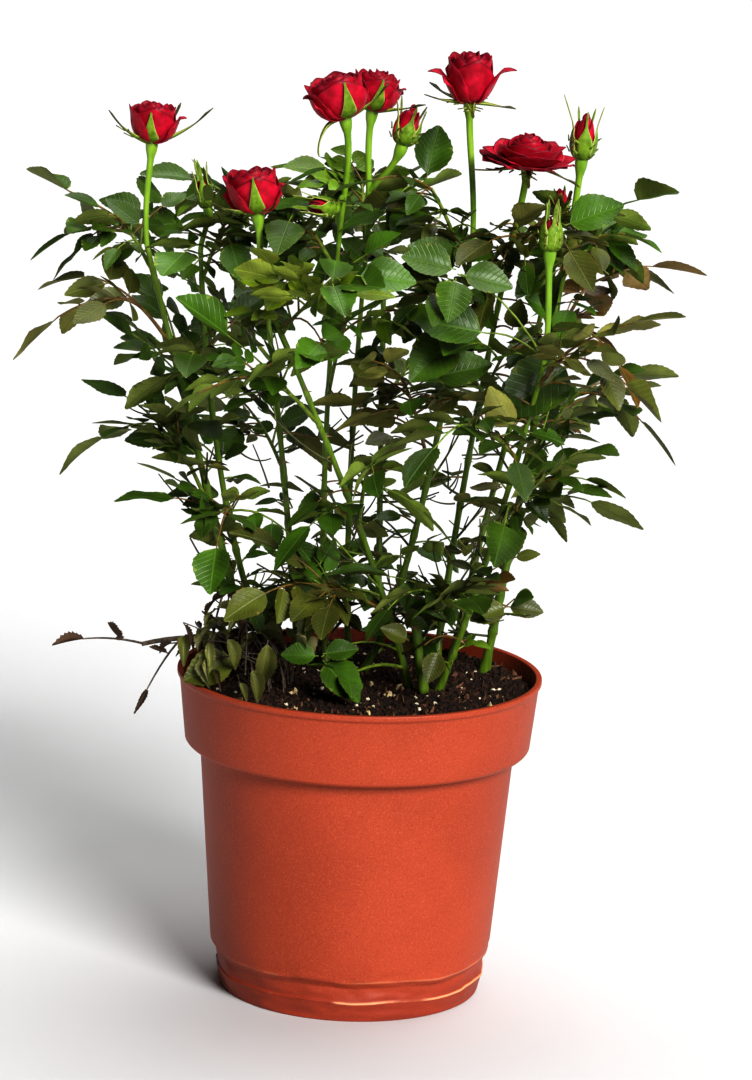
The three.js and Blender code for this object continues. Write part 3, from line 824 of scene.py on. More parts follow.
def growFiner(stem, turn, habitName, draw, tint):
    # smaller leaves between those of the spray
    for i in range(finer["perSpray"]):
        start = stem.point(mix(*finer["along"], draw.next()))
        leafTurn = turn + (1 if i % 2 else -1) * draw.between(*finer["aside"])
        spine, leaflets = layOutLeaf(start, leafTurn, finerHabit(habits[habitName], draw), 1, draw)
        tryLeaf(spine, leaflets, tint if draw.next() < finer["sameTint"] else pickTint(draw, start), draw)


def growAlongCane(c, seed):
    # leaves straight off a cane, each turned on from the last by the golden angle
    draw = Draws(seed)
    curve = caneCurve(c)
    turn = draw.between(0, 360)
    for i in range(finer["perCane"]):
        at = mix(finer["from"], 1, (i + 0.5) / finer["perCane"])
        turn += goldenTurn + draw.between(*finer["swing"])
        spine, leaflets = layOutLeaf(curve.point(at), turn, finerHabit(habits["leaves"], draw), 1, draw)
        tryLeaf(spine, leaflets, pickTint(draw, curve.point(at)), draw)


# Leaves laid singly: the tint, which side shows, and each leaflet's root and tip.
laid = [
    ("deep", 1, [
        ((-18, -100, 349), (-12, -121, 339)),
        ((-18, -100, 350), (-17, -78, 356)),
        ((-8, -100, 353), (18, -100, 351)),
    ]),
    ("deep", 1, [((-22, -98, 323), (-32, -114, 314)), ((-22, -98, 324), (-14, -82, 325))]),
    ("young", 1, [
        ((-38, -68, 345), (-47, -68, 331)),
        ((-37, -68, 346), (-30, -75, 338)),
        ((-39, -68, 347), (-53, -68, 345)),
        ((-49, -68, 343), (-59, -68, 344)),
    ]),
    ("dark", 1, [
        ((36, -66, 348), (33, -85, 332)),
        ((38, -66, 350), (61, -66, 345)),
        ((36, -66, 352), (12, -66, 357)),
    ]),
    ("deep", 1, [((51, -54, 322), (19, -54, 327))]),
    ("olive", -1, [((64, -76, 283), (53, -67, 300))]),
    ("deep", 1, [((84, -48, 371), (109, -48, 381))]),
    ("dark", 1, [((90, -40, 307), (59, -56, 286))]),
    ("dark", 1, [((37, -32, 316), (18, -52, 299)), ((27, -32, 297), (54, -32, 304))]),
    ("deep", 1, [((22, 30, 379), (27, 43, 402))]),
    ("deep", 1, [
        ((-17, -38, 165), (0, -52, 150)),
        ((-19, -38, 167), (-36, -38, 167)),
        ((-17, -38, 168), (-1, -38, 171)),
    ]),
    ("olive", 1, [((68, 24, 179), (51, 19, 173)), ((68, 24, 179), (85, 24, 177))]),
    ("wilted", 1, [((-49, -60, 166), (-44, -63, 151)), ((-54, -60, 159), (-50, -63, 152))]),
    ("olive", 1, [((-56, -37, 164), (-80, -41, 154))]),
    ("wilted", 1, [((-42, -52, 177), (-44, -55, 155)), ((-61, -44, 176), (-55, -47, 162))]),
    ("deep", 1, [((-28, -30, 191), (-19, -33, 202)), ((-27, -30, 191), (-38, -34, 186))]),
    ("olive", 1, [((22, -38, 176), (9, -41, 182)), ((36, -38, 172), (31, -44, 158))]),
    ("dark", 1, [((38, -8, 344), (15, -14, 354))]),  # from here on, leaves deeper in the crown
    ("deep", 1, [((25, 4, 356), (47, -2, 348))]),
    ("olive", 1, [((10, 0, 344), (30, -6, 332))]),
    ("dark", 1, [((83, 6, 346), (65, 0, 332))]),
    ("deep", 1, [((85, -4, 322), (69, -10, 332))]),
    ("dark", 1, [((80, 2, 312), (62, -4, 305))]),
    ("olive", 1, [((64, 6, 314), (67, 0, 329))]),
    ("deep", 1, [((83, -6, 302), (66, -12, 292))]),
    ("dark", 1, [((60, 8, 290), (73, 2, 280))]),
    ("dark", 1, [((-4, 10, 342), (-16, 4, 353))]),
    ("dark", 1, [((-9, -4, 302), (6, -10, 298))]),
]
handLaid = {
    "faces": (-80, 35), "rise": 0.25,
    "spots": 40,  # along each cane, where a stalk may start
    "fromAbove": 20,  # a spot above the leaf counts as this much further off
}
litter = {
    "middle": (-62, 4), "spread": (13, 32), "rise": (148.5, 158), "count": 100, "length": (7, 16),
    "inside": 80, "floor": 148, "dip": (-8, 30), "faces": 60, "stalk": 3, "thick": 0.7,
}
deadStalks = {
    "count": 46, "x": (-66, -30), "y": (-34, 20), "turn": (110, 300), "rise": (30, 75), "top": (160, 204),
    "reach": 0.8, "bend": 0.6, "droop": (-70, 0), "length": (7, 14), "within": 10, "thick": 0.75,
}


def nearestLimb(p):
    # the point of a cane that a leaf's stalk may rise from
    steps = handLaid["spots"]
    spots = [caneCurve(c).point(i / steps) for c in canes for i in range(steps + 1)]
    return min(spots, key=lambda q: (q - p).length + (handLaid["fromAbove"] if q.z > p.z else 0))


def squared(face, along):
    return (face - along * face.dot(along)).normalized()


def layByHand(tint, side, parts):
    parts = [(Vector(root), Vector(tip)) for root, tip in parts]
    joint = sum((root for root, tip in parts), Vector()) / len(parts)
    start = nearestLimb(joint)
    rise = (joint - start).length * handLaid["rise"]
    line = Bezier(start, (start + joint) / 2 + up * rise, joint)
    leaflets = []
    for root, tip in parts:
        along = (tip - root).normalized()
        face = squared(heading(*handLaid["faces"]) * side, along)
        length = (tip - root).length
        leaflets.append({"root": root, "along": along, "face": face, "length": length, "t": 1, "broad": True})
    keepLeaf(line.point, leaflets, tint)


def dropLitter():
    # dead leaflets heaped inside the rim
    draw = Draws(seeds["litter"])
    for i in range(litter["count"]):
        x, y = (m + draw.between(-s, s) for m, s in zip(litter["middle"], litter["spread"]))
        root = Vector((x, y, draw.between(*litter["rise"])))
        along = heading(draw.between(0, 360), draw.between(*litter["dip"]))
        face = heading(draw.between(0, 360), litter["faces"])
        length = draw.between(*litter["length"])
        tip = root + along * length
        outermost = max(math.hypot(root.x, root.y), math.hypot(tip.x, tip.y))
        if outermost < litter["inside"] and tip.z > litter["floor"]:
            leaflet = {"root": root, "along": along, "face": squared(face, along), "length": length, "t": 1}

            def stalkLine(t, root=root, along=along):
                return root - along * (litter["stalk"] * (1 - t))

            keepLeaf(stalkLine, [leaflet], "withered", litter["thick"])
    # and thin dead stalks that stand among them
    for i in range(deadStalks["count"]):
        foot = Vector((draw.between(*deadStalks["x"]), draw.between(*deadStalks["y"]), litter["floor"]))
        lean = heading(draw.between(*deadStalks["turn"]), draw.between(*deadStalks["rise"]))
        joint = foot + lean * ((draw.between(*deadStalks["top"]) - foot.z) * deadStalks["reach"])
        line = Bezier(foot, foot + up * (joint - foot).length * deadStalks["bend"], joint)
        droop = heading(draw.between(0, 360), draw.between(*deadStalks["droop"]))
        face = (up - droop * droop.z).normalized()
        length = draw.between(*deadStalks["length"])
        leaflet = {"root": joint, "along": droop, "face": face, "length": length, "t": 1}
        if all(isWithin(p) for p in (joint, joint + droop * deadStalks["within"])):
            keepLeaf(line.point, [leaflet], "wilted" if i % 3 == 0 else "withered", deadStalks["thick"])


bareShoots = {
    "perCane": 8, "between": (0.1, 0.72), "rise": (0, 50), "length": (20, 46), "arch": (-0.15, 0.3),
    "ahead": (0.5, 0.9),  # how far ahead it bends and ends, as shares of its length
    "forks": 2, "forkFrom": (0.3, 0.85), "forkLength": (0.3, 0.6), "forkBend": 0.35,
    "forkTip": (0.9, 0.3, 0.4), "forkReach": 0.5,  # from its bend onward, aside and up, and how far
    "thick": (0.64, 0.48),  # the shoot and its forks, in millimetres at the foot
}
bareTwigs = []  # each with its curve and its radius at the foot


def growBareTwigs(c, seed):
    # thin leafless side shoots in the lower half of the plant, each with its forks
    draw = Draws(seed)
    turn = draw.between(0, 360)
    thick, thin = bareShoots["thick"]
    for i in range(bareShoots["perCane"]):
        at = mix(*bareShoots["between"], (i + draw.next()) / bareShoots["perCane"])
        turn += goldenTurn
        start, ahead = caneCurve(c).point(at), heading(turn, draw.between(*bareShoots["rise"]))
        length = draw.between(*bareShoots["length"])
        bendAt, endAt = bareShoots["ahead"]
        end = start + ahead * (length * endAt) + up * (length * draw.between(*bareShoots["arch"]))
        line = Bezier(start, start + ahead * (length * bendAt), end)
        grown = [(line, thick)]
        for j in range(bareShoots["forks"]):
            along = draw.between(*bareShoots["forkFrom"])
            foot, onward = line.point(along), line.tangent(along)
            aside = turned(squareTo(onward), onward, draw.between(0, 360))
            reach = length * draw.between(*bareShoots["forkLength"])
            bend = foot + (onward + aside) * (reach * bareShoots["forkBend"])
            way = sum((d * share for d, share in zip((onward, aside, up), bareShoots["forkTip"])), Vector())
            grown.append((Bezier(foot, bend, bend + way * (reach * bareShoots["forkReach"])), thin))
        bareTwigs.extend((branch, radius) for branch, radius in grown if isWithin(branch.point(1)))


def keepCanesClear():
    steps = 80
    for c in canes:
        crowd.block([caneCurve(c).point(i / steps) for i in range(steps + 1)], finer["caneRoom"])
    frontCane, steps = caneCurve(caneNamed(frontGap["cane"])), 60
    for i in range(steps + 1):
        on = frontCane.point(mix(*frontGap["share"], i / steps))
        for depth in range(*frontGap["deep"]):
            crowd.block([on + heading(*frontGap["faces"]) * depth], frontGap["room"])


def growPlant():
    keepCanesClear()
    grownSprays = [growSpray(c, i, spray) for c in canes for i, spray in enumerate(c["sprays"])]
    print(f"packed leaflets found again: {sum(len(leaf['leaflets']) for leaf in leaves)}")
    for tint, side, parts in laid:
        layByHand(tint, side, parts)
    dropLitter()
    for stem, turn, habitName, draw, tint in grownSprays:
        if habitName in ("leaves", "young"):
            growFiner(stem, turn, habitName, draw, tint)
    for k, c in enumerate(canes):
        for grow, rule in ((growAlongCane, "alongCane"), (growBareTwigs, "bareShoots")):
            first, perCane = seeds[rule]
            grow(c, first + perCane * k)
    print(f"growth: {len(leaves)} leaves, {sum(len(leaf['leaflets']) for leaf in leaves)} leaflets")


growPlant()


# Leaves: what they look like
blade = {
    "widest": 0.42, "fullness": 0.85, "teeth": 8, "tooth": 0.022, "thick": 0.012,
    "toothAt": (0.72, 0.85), "toothSize": (0.6, 1.2),
    "arch": 0.1,  # how far each half swells up
    "waves": 9,
}


def leafletMesh(name, seed, width, fold, droop, twist, wave):
    # a leaflet one long, along X, facing Z; its face and its underside share the toothed margin
    draw = Draws(seed)
    teeth = blade["teeth"]
    power = math.log(0.5) / math.log(blade["widest"])
    points, uvs = [], []

    def half(x):
        return width / 2 * math.sin(math.pi * min(1, max(0, x)) ** power) ** blade["fullness"]

    def add(x, y, lift=0.0):
        rel = abs(y) / max(half(x), 0.02)
        z = half(x) * (fold * rel - blade["arch"] * rel * rel) - droop * x * x + twist * y * x
        z += wave * math.sin(blade["waves"] * x + 2 * seed) * rel * half(x) - lift
        points.append((x, y, z))
        uvs.append((x, 0.5 + y / width))
        return len(points) - 1

    base, tip = add(0, 0), add(1, 0)
    sides = {}
    for s in (1, -1):
        notch = [base] + [add(i / teeth, s * half(i / teeth)) for i in range(1, teeth)] + [tip]
        tooth = []
        for i in range(teeth):
            x = (i + draw.between(*blade["toothAt"])) / teeth
            tooth.append(add(x, s * (half(x) + blade["tooth"] * draw.between(*blade["toothSize"]))))
        sides[s] = (notch, tooth)
    rim = len(points)
    faces, under = [], []
    for layer in (0, 1):
        lift = blade["thick"] * layer

        def lineAt(across):
            inner = [add(i / teeth, across * half(i / teeth), lift) for i in range(1, teeth)]
            return [base, *inner, tip]

        midrib = lineAt(0)
        for s in (1, -1):
            notch, tooth = sides[s]
            middle = lineAt(s / 2)
            for i in range(teeth):
                inner = [midrib[i], midrib[i + 1], middle[i + 1], middle[i]]
                outer = [middle[i], middle[i + 1], notch[i + 1], tooth[i], notch[i]]
                for face in (inner, outer):
                    face = list(dict.fromkeys(face))
                    faces.append(face if (s > 0) == (layer == 0) else face[::-1])
                    under.append(layer == 1)
    mesh = bpy.data.meshes.new(name)
    mesh.from_pydata(points, [], faces, shade_flat=False)
    setUvs(mesh, uvs)
    setLayer(mesh, "under", "BOOLEAN", "FACE", under)
    setLayer(mesh, "sharp_edge", "BOOLEAN", "EDGE", [max(e.vertices) < rim for e in mesh.edges])
    return mesh


# Each kind's leaflets run from slim to broad round their width, a share of the length, and differ in
# how they fold along the midrib, droop, twist and wave.
leafletKinds = {
    "green": {
        "count": 8, "width": 0.56, "fold": (0.15, 0.6), "droop": (0.02, 0.22), "twist": 0.25, "wave": 0.12,
        "seed": 11,
    },
    "wilted": {
        "count": 5, "width": 0.36, "fold": (1.0, 1.9), "droop": (0.1, 0.5), "twist": 0.7, "wave": 0.6,
        "seed": 31,
    },
    "withered": {
        "count": 4, "width": 0.17, "fold": (2.2, 3.2), "droop": (-0.3, 0.5), "twist": 1.2, "wave": 0.6,
        "seed": 51,
    },
}


def leafletSet(name, count, width, fold, droop, twist, wave, seed):
    draw = Draws(seed)
    return shapeSet(name, [
        leafletMesh(
            f"{name}{i}", seed + i, width * mix(0.86, 1.24, i / (count - 1)), draw.between(*fold),
            draw.between(*droop), draw.between(-twist, twist), draw.between(-wave, wave),
        )
        for i in range(count)
    ])


leafletShapes = {kind: leafletSet(f"{kind}Leaflet", **look) for kind, look in leafletKinds.items()}

# For each tint: the colour of the leaf's face, of its veins, its margin and its underside, and the
# material slot.
tints = {
    "dark": ((0.042, 0.088, 0.006), (0.1, 0.18, 0.03), (0.075, 0.08, 0.012), (0.15, 0.175, 0.04), "leaf"),
    "deep": ((0.054, 0.125, 0.007), (0.13, 0.25, 0.03), (0.085, 0.13, 0.012), (0.17, 0.22, 0.04), "leaf"),
    "olive": ((0.078, 0.095, 0.012), (0.16, 0.18, 0.04), (0.15, 0.075, 0.02), (0.2, 0.2, 0.05), "leaf"),
    "fresh": (
        (0.115, 0.215, 0.008), (0.22, 0.36, 0.04), (0.19, 0.17, 0.02), (0.21, 0.28, 0.05), "young_leaf",
    ),
    "young": ((0.17, 0.27, 0.01), (0.34, 0.46, 0.06), (0.34, 0.22, 0.02), (0.3, 0.38, 0.06), "young_leaf"),
    "bronze": (
        (0.12, 0.072, 0.01), (0.24, 0.14, 0.03), (0.22, 0.055, 0.015), (0.23, 0.16, 0.05), "young_leaf",
    ),
    "wilted": (
        (0.115, 0.125, 0.028), (0.22, 0.22, 0.07), (0.16, 0.11, 0.045), (0.24, 0.23, 0.1), "wilted_leaf",
    ),
    "withered": (
        (0.05, 0.028, 0.015), (0.09, 0.05, 0.03), (0.03, 0.02, 0.012), (0.1, 0.06, 0.035), "withered_twig",
    ),
}
leafFinish = {
    "foot": 0.08, "length": 0.94,  # where the blade begins past its root, and how long it is drawn
    "fresh": 0.38, "dry": 0.8,  # roughness
    "below": (0.6, 0.7, 0.15),  # the underside's roughness, veins and gloss
}
standsFor = {tint: [] for tint in tints}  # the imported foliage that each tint's piece replaces
for c in canes:
    for i, spray in enumerate(c["sprays"]):
        habitName = habitOf(spray)
        tint = "dark" if habitName in ("leaves", "low") else habitName
        standsFor[tint].append(f"foliage_{c['name']}_{i + 1}")


def makeLeaves():
    draw = Draws(seeds["leaflets"])
    for tint, (face, vein, margin, under, slotName) in tints.items():
        kind = tint if tint in leafletKinds else "green"
        count = leafletKinds[kind]["count"]
        placed = Placed()
        for l in (l for leaf in leaves if leaf["tint"] == tint for l in leaf["leaflets"]):
            root = l["root"] + l["along"] * (leafFinish["foot"] * l["length"])
            variant = count - 1 if l.get("broad") else int(draw.next() * count)
            size = l["length"] * l.get("share", leafFinish["length"])
            placed.add(root, l["along"], l["face"], size, variant)
        roughness = leafFinish["dry" if tint == "withered" else "fresh"]
        top = leafMaterial(f"{tint}LeafFace", face, vein, margin, roughness)
        below = leafMaterial(f"{tint}LeafUnderside", under, vein, margin, *leafFinish["below"])
        piece = placed.build(f"leaves_{tint}", leafletShapes[kind], top, below)
        settle(piece, slotName, *standsFor[tint])


makeLeaves()

# Twigs and leaf stalks
twigLook = {
    "sides": 6,
    "stem": (1.0, 0.7, 8),  # radius at its foot and at its tip, and its steps
    "stalk": (0.6, 0.36, 6),
    "bare": (1, 0.6, 6),
    "leafletStalk": ((0, 0.36), (0.05, 0.32), (0.12, 0.26)),  # shares of the leaflet, with the radius
    "withered": 1.5,
    "redShare": 0.7,  # leaf stalks of the greens are red past this draw
    "darkOf": 4,  # all but one in this many bare shoots are dark
}
# which twigs go with a tint of leaves, where they aren't green
twigKinds = {"withered": "brown", "bronze": "red", "olive": "red", "wilted": "brown"}
# each kind's material, from the dark tone to the light one, and its slot
twigSkins = {
    "green": ("greenTwigSkin", (0.1, 0.15, 0.012), (0.21, 0.29, 0.03), 300.0, 0.45, 0.3, "cane"),
    "red": ("reddishTwigSkin", (0.12, 0.05, 0.012), (0.22, 0.14, 0.025), 300.0, 0.45, 0.3, "cane"),
    "dark": ("darkTwigSkin", (0.03, 0.036, 0.008), (0.075, 0.08, 0.018), 300.0, 0.6, 0.3, "cane"),
    "brown": (
        "witheredTwigBark", (0.035, 0.02, 0.012), (0.12, 0.09, 0.06), 500.0, 0.85, 0.6, "withered_twig",
    ),
}


def makeTwigs():
    tubes = {kind: Tubes() for kind in twigSkins}
    draw = Draws(seeds["twigs"])

    def add(kind, spine, look, thick=1, before=()):
        # a tube along a spine, thinner towards its tip
        foot, tip, steps = twigLook[look]
        points = [*before] + [spine(i / steps) for i in range(steps + 1)]
        radii = [thick * mix(foot, tip, max(0, i - len(before)) / steps) for i in range(len(points))]
        tubes[kind].add(points, radii)

    for stem in stems:
        thick = twigLook["withered"] if stem["tint"] == "withered" else 1
        add(twigKinds.get(stem["tint"], "green"), stem["curve"].point, "stem", thick, [stem["inside"]])
    for leaf in leaves:
        kind = twigKinds.get(leaf["tint"], "green" if draw.next() < twigLook["redShare"] else "red")
        add(kind, lambda t: leaf["spine"](leaf["reached"] * t), "stalk", leaf["thick"])
        for l in leaf["leaflets"]:
            away = l["along"] * l["length"]
            spots = twigLook["leafletStalk"]
            tubes[kind].add([l["root"] + away * share for share, r in spots], [r for share, r in spots])
    for i, (line, thick) in enumerate(bareTwigs):
        add("dark" if i % twigLook["darkOf"] else "green", line.point, "bare", thick)
    for kind, (*skin, slotName) in twigSkins.items():
        settle(tubes[kind].build(f"twigs_{kind}", twigLook["sides"], plainMaterial(*skin)), slotName)


makeTwigs()

# Canes
caneLook = {
    "slim": 0.84,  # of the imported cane's thickness
    "swelling": 0.28,  # at each joint, where a leaf has grown
    "jointLength": 0.012, "joints": 9,
    "step": 2.4, "sunk": -0.02, "lumps": 0.05,
    "prickles": 13, "prickle": (1.6, 3.2), "prickled": (0.06, 0.9),
}
caneSkin = {
    "old": ((0.075, 0.135, 0.008), (0.13, 0.21, 0.014)), "fresh": ((0.13, 0.23, 0.01), (0.21, 0.33, 0.018)),
    "freshFrom": (0.2, 0.4),  # metres up, where the bark turns from old to fresh
    "scar": (0.13, 0.11, 0.04), "streaks": (500.0, 4.0, (1, 1, 0.12)),
    "cut": ("cutWood", (0.34, 0.2, 0.1), (0.5, 0.34, 0.2), 700.0, 0.75),
    "prickle": ("prickleSkin", (0.16, 0.09, 0.03), (0.26, 0.2, 0.07), 400.0, 0.4),
}


def caneMaterial():
    s = Shading("caneSkin", 0.42, 0.4)
    height = s.split(s.object)[2]
    streaks = s.noise(*caneSkin["streaks"])
    grain = s.span(streaks, 0.35, 0.7)
    old, fresh = (s.blend(grain, *caneSkin[age]) for age in ("old", "fresh"))
    green = s.blend(s.span(height, *caneSkin["freshFrom"]), old, fresh)
    scars = s.span(s.noise(160.0, 2.0), 0.62, 0.72, 0.0, 0.7)
    return s.finish(s.blend(scars, green, caneSkin["scar"]), streaks, 0.4)


def bandFaces(sides, rows):
    # the faces between rings of points that follow each other
    faces = []
    for row in range(rows):
        for k in range(sides):
            a, b = row * sides + k, row * sides + (k + 1) % sides
            faces.append((a, b, b + sides, a + sides))
    return faces


def ringsOf(curve, radiusAt, sides, steps, seed):
    # rings of points along a curve, and the faces between them, closed at both ends
    points = []
    side = squareTo(curve.tangent(0))
    for i in range(steps + 1):
        t = mix(caneLook["sunk"], 1, i / steps)
        axis = curve.tangent(t)
        side = (side - axis * side.dot(axis)).normalized()
        other = axis.cross(side)
        centre = curve.point(t)
        for k in range(sides):
            angle = 2 * math.pi * k / sides
            out = side * math.cos(angle) + other * math.sin(angle)
            grain = noise.noise(out * 2.2 + Vector((seed, 0, t * 9)))
            rough = noise.noise((centre + out) * 0.45)
            lumps = 1 + caneLook["lumps"] * grain + caneLook["lumps"] * rough
            points.append(centre + out * (radiusAt(max(0, t)) * lumps))
    faces = bandFaces(sides, steps)
    faces.append(tuple(range(sides))[::-1])
    faces.append(tuple(steps * sides + k for k in range(sides)))
    return points, faces


def gather(parts):
    points, faces = [], []
    for morePoints, moreFaces in parts:
        start = len(points)
        points += morePoints
        faces += [tuple(start + i for i in face) for face in moreFaces]
    return points, faces


def prickleMesh():
    # a prickle one long, along X, hooked towards Z
    points, sides = [], 6
    for x, radius, hook in ((-0.2, 0.42, 0), (0.1, 0.24, 0.02), (0.5, 0.11, 0.1)):
        for k in range(sides):
            angle = 2 * math.pi * k / sides
            points.append((x, radius * 0.6 * math.cos(angle), hook + radius * math.sin(angle)))
    points += [(1, 0, 0.3), (-0.3, 0, 0)]
    faces = bandFaces(sides, 2)
    for k in range(sides):
        faces.append((2 * sides + k, 2 * sides + (k + 1) % sides, 3 * sides))
        faces.append(((k + 1) % sides, k, 3 * sides + 1))
    mesh = bpy.data.meshes.new("prickle")
    mesh.from_pydata(points, [], faces, shade_flat=False)
    return mesh


def makeCanes():
    parts = []
    prickles = Placed()
    draw = Draws(seeds["prickles"])
    for k, c in enumerate(canes):
        curve = caneCurve(c)
        count = caneLook["joints"]
        joints = [spray[0] for spray in c["sprays"]] + [i / count + 0.03 for i in range(1, count)]

        def radiusAt(t):
            swell = sum(math.exp(-(((t - j) / caneLook["jointLength"]) ** 2)) for j in joints)
            return caneLook["slim"] * caneRadius(c, t) * (1 + caneLook["swelling"] * min(1, swell))

        steps = round((curve.point(1) - curve.point(0)).length / caneLook["step"])
        parts.append(ringsOf(curve, radiusAt, cane["sides"], steps, k))
        for i in range(caneLook["prickles"]):
            at = draw.between(*caneLook["prickled"])
            axis = curve.tangent(at)
            out = turned(squareTo(axis), axis, draw.between(0, 360))
            foot = curve.point(at) + out * (caneLook["slim"] * caneRadius(c, at) * 0.9)
            prickles.add(foot, out, -axis, draw.between(*caneLook["prickle"]))
    line = Bezier((*stub["foot"], soilTop + clear), stub["top"])

    def stubRadius(t):
        return stub["girth"] / 2 * mix(*stub["taper"], t)

    parts.append(ringsOf(line, stubRadius, cane["sides"], stub["steps"], stub["seed"]))
    piece = makeObject("canes", meshOf("canes", *gather(parts)))
    piece.data.materials.append(caneMaterial())
    settle(piece, "cane", *[name for name in nodes if name.startswith("cane_")])
    disc = Tubes()
    top = Vector(stub["top"])
    radii = [stub["girth"] * share for share in stub["disc"]]
    disc.add([top - up * stub["below"], top + up * stub["above"]], radii)
    wood = plainMaterial(*caneSkin["cut"])
    settle(disc.build("stub_face", stub["discSides"], wood), "cane")
    thornSkin = plainMaterial(*caneSkin["prickle"])
    settle(prickles.build("prickles", shapeSet("prickle", [prickleMesh()]), thornSkin), "cane")


makeCanes()

# Blooms
bloom = {
    "petals": 24, "budPetals": 8, "thick": 0.28, "across": 10, "along": 10,
    "ruffle": 0.9,
    "point": (0.15, 0.3),  # how much higher a petal's middle stands than its corners, inner and outer
    "bud": 0.2,  # a head less open than this is a bud
    "inset": {"bud": 0.5, "open": 1.5},  # of the outermost petal from the head's width
    "lip": {"bud": (0.2, 0.2), "open": (0.1, 1.3)},  # how far the inner and the outer petals roll back
    "tall": (0.93, 1.04), "swing": (-8, 8),
    # A petal's outline and relief: where it is widest, how its foot and its top close, where its edge
    # begins to roll back, how far a rolled edge drops, and the least radius and bow it is drawn with.
    "petal": {
        "widest": 0.6, "foot": 0.3, "closes": 0.42, "least": 0.05, "edge": 0.62, "sides": (0.2, 0.7),
        "drop": 0.35, "radius": 0.4, "bow": 1.6, "tuck": (0.25, 0.09), "ripple": (1.9, 2.3, 0.37),
    },
    # Petals in the cup, from the innermost to the outermost: how wide they stand, how they lean and how
    # tall they are, in a bud and in an open head, and what is added where the head is nearly flat.
    "cup": {
        "belly": (0.16, 0.93), "crowding": 0.85, "flat": (0.75, 1),
        "bud": {"lean": (-0.85, -0.5), "top": (0.98, 0.9)},
        "open": {"lean": (-0.3, 0.06), "top": (0.95, 0.9)},
        "flatLean": 0.75, "flatTop": 0.42,
        "foot": (0.8, 0.5), "low": (1.15, 0.06), "high": (1.12, 0.6),
        "half": (0.75, 1.05), "halfLimit": (3.2, 2.2), "wrap": (1.0, 1.12), "tuck": (0.6, 1),
    },
    # Petals that have folded down to the side. Two values stand for a cup and for a flat, full head.
    "foldedDown": {
        "reach": (0.9, 1.0), "trim": 1.8, "full": (0.78, 0.95), "top": (0.6, 0.34), "tall": (0.85, 1.15),
        "bulge": (0.9, 1.3), "height": (1.15, 0.7), "swing": (-6, 6), "half": 0.82, "wrap": 1.5,
        "tuck": 0.6, "lip": 2.2, "point": 0.34, "seed": 50, "foot": (1.5, 0.2), "out": 1.1,
    },
}
calyx = {
    "sepals": 5, "length": 23, "steps": 14, "thick": 0.4, "swing": (-12, 12),
    "lobes": ((3, 1), (4, -1), (6, 1), (7, -1)),  # the step that each stands at, and its side
    "lobe": (0.14, 0.24), "lobeShape": ((0, 0.5), (0.35, 0.42), (0.7, 0.25), (1, 0.06)),
    "lobeAhead": (0.7, 1.3), "lobeFoot": 0.7, "hugsBelow": 0.6,
    "hanging": {"lead": 70, "last": 172, "length": 0.95},
    "hugging": {"puff": 0.6, "slender": 0.5, "tail": 1, "lean": 1},
    "closed": {"puff": 1.3, "slender": 0.8, "tail": 1.2, "lean": 0.4},  # round a bud wrapped past 0.9
    # A sepal that hugs the cup: how far up it an open head's sepal comes, its tail past that as a share of
    # the head's height, how the tail leans, and its widths, in millimetres or as shares of the cup's.
    "hug": {
        "reached": (0.82, 0.92), "budTail": (0.3, 0.65), "openTail": 0.06, "lean": (-0.1, 0.5),
        "past": 0.35, "closed": 0.9, "bow": 1.2, "ends": 1.06, "narrows": {"bud": 0.35, "open": 0.7},
        "overlap": 1.3, "widest": 3.9, "tip": 0.12,
    },
    # A sepal that has folded out: its angles from the head's axis at its foot and its tip, in degrees, as
    # the head opens, how they differ, its widths, and the small leaf near the tip of every other one.
    "foldOut": {
        "lead": (74, 98), "last": (42, 95), "range": (0.4, 1), "leadSwing": (-8, 8),
        "lastSwing": (-20, 25), "length": (0.8, 1.15), "curl": 0.8, "widest": (3.0, 0.6),
        "start": (2.2, 0.5, -0.3), "startWidth": 0.8, "leafy": (0.25, 0.84, 0.09), "narrows": 0.75,
        "slender": 0.16, "soften": 0.8, "tip": 0.2, "bow": (3.0, 1.1), "bowEnds": 3,
    },
}
stalk = {
    "base": 1.2, "neck": 1.65, "hip": 2.9, "slimNeck": 6, "slimHip": 3.2,
    "fork": 0.3, "leave": 0.4, "arrive": 0.3, "steps": 22, "sides": 12,
    "swells": (9, 2.5),  # this far below the head, in millimetres
    "skin": ("flowerStalkSkin", (0.15, 0.3, 0.012), (0.26, 0.43, 0.03), 260.0, 0.4),
    "streaks": (1, 1, 0.2),
}


class Sheets:
    # open surfaces, each a grid of points in millimetres, thickened together at the end
    def __init__(self):
        self.points, self.faces, self.uvs = [], [], []

    def grid(self, rows, top=1.0):
        # top: how high up its material the last row reaches
        start, wide = len(self.points), len(rows[0])
        for j, row in enumerate(rows):
            self.points += row
            self.uvs += [(i / (wide - 1), top * j / (len(rows) - 1)) for i in range(wide)]
        for j in range(len(rows) - 1):
            for i in range(wide - 1):
                a = start + j * wide + i
                self.faces.append((a, a + 1, a + 1 + wide, a + wide))

    def build(self, name, thick, material):
        mesh = meshOf(name, self.points, self.faces)
        setUvs(mesh, self.uvs)
        mesh.materials.append(material)
        piece = makeObject(name, mesh)
        solid = piece.modifiers.new("thickness", "SOLIDIFY")
        solid.thickness = thick * mm
        solid.offset = 0
        return setPlain(piece)


petalSkin = {
    "red": ((0.3, 0.002, 0.014), (0.52, 0.004, 0.036)), "foot": (0.5, 0.06, 0.1), "rim": (0.09, 0.001, 0.008),
    "velvet": (1, 0.2, 0.3), "streaks": 230.0,
}


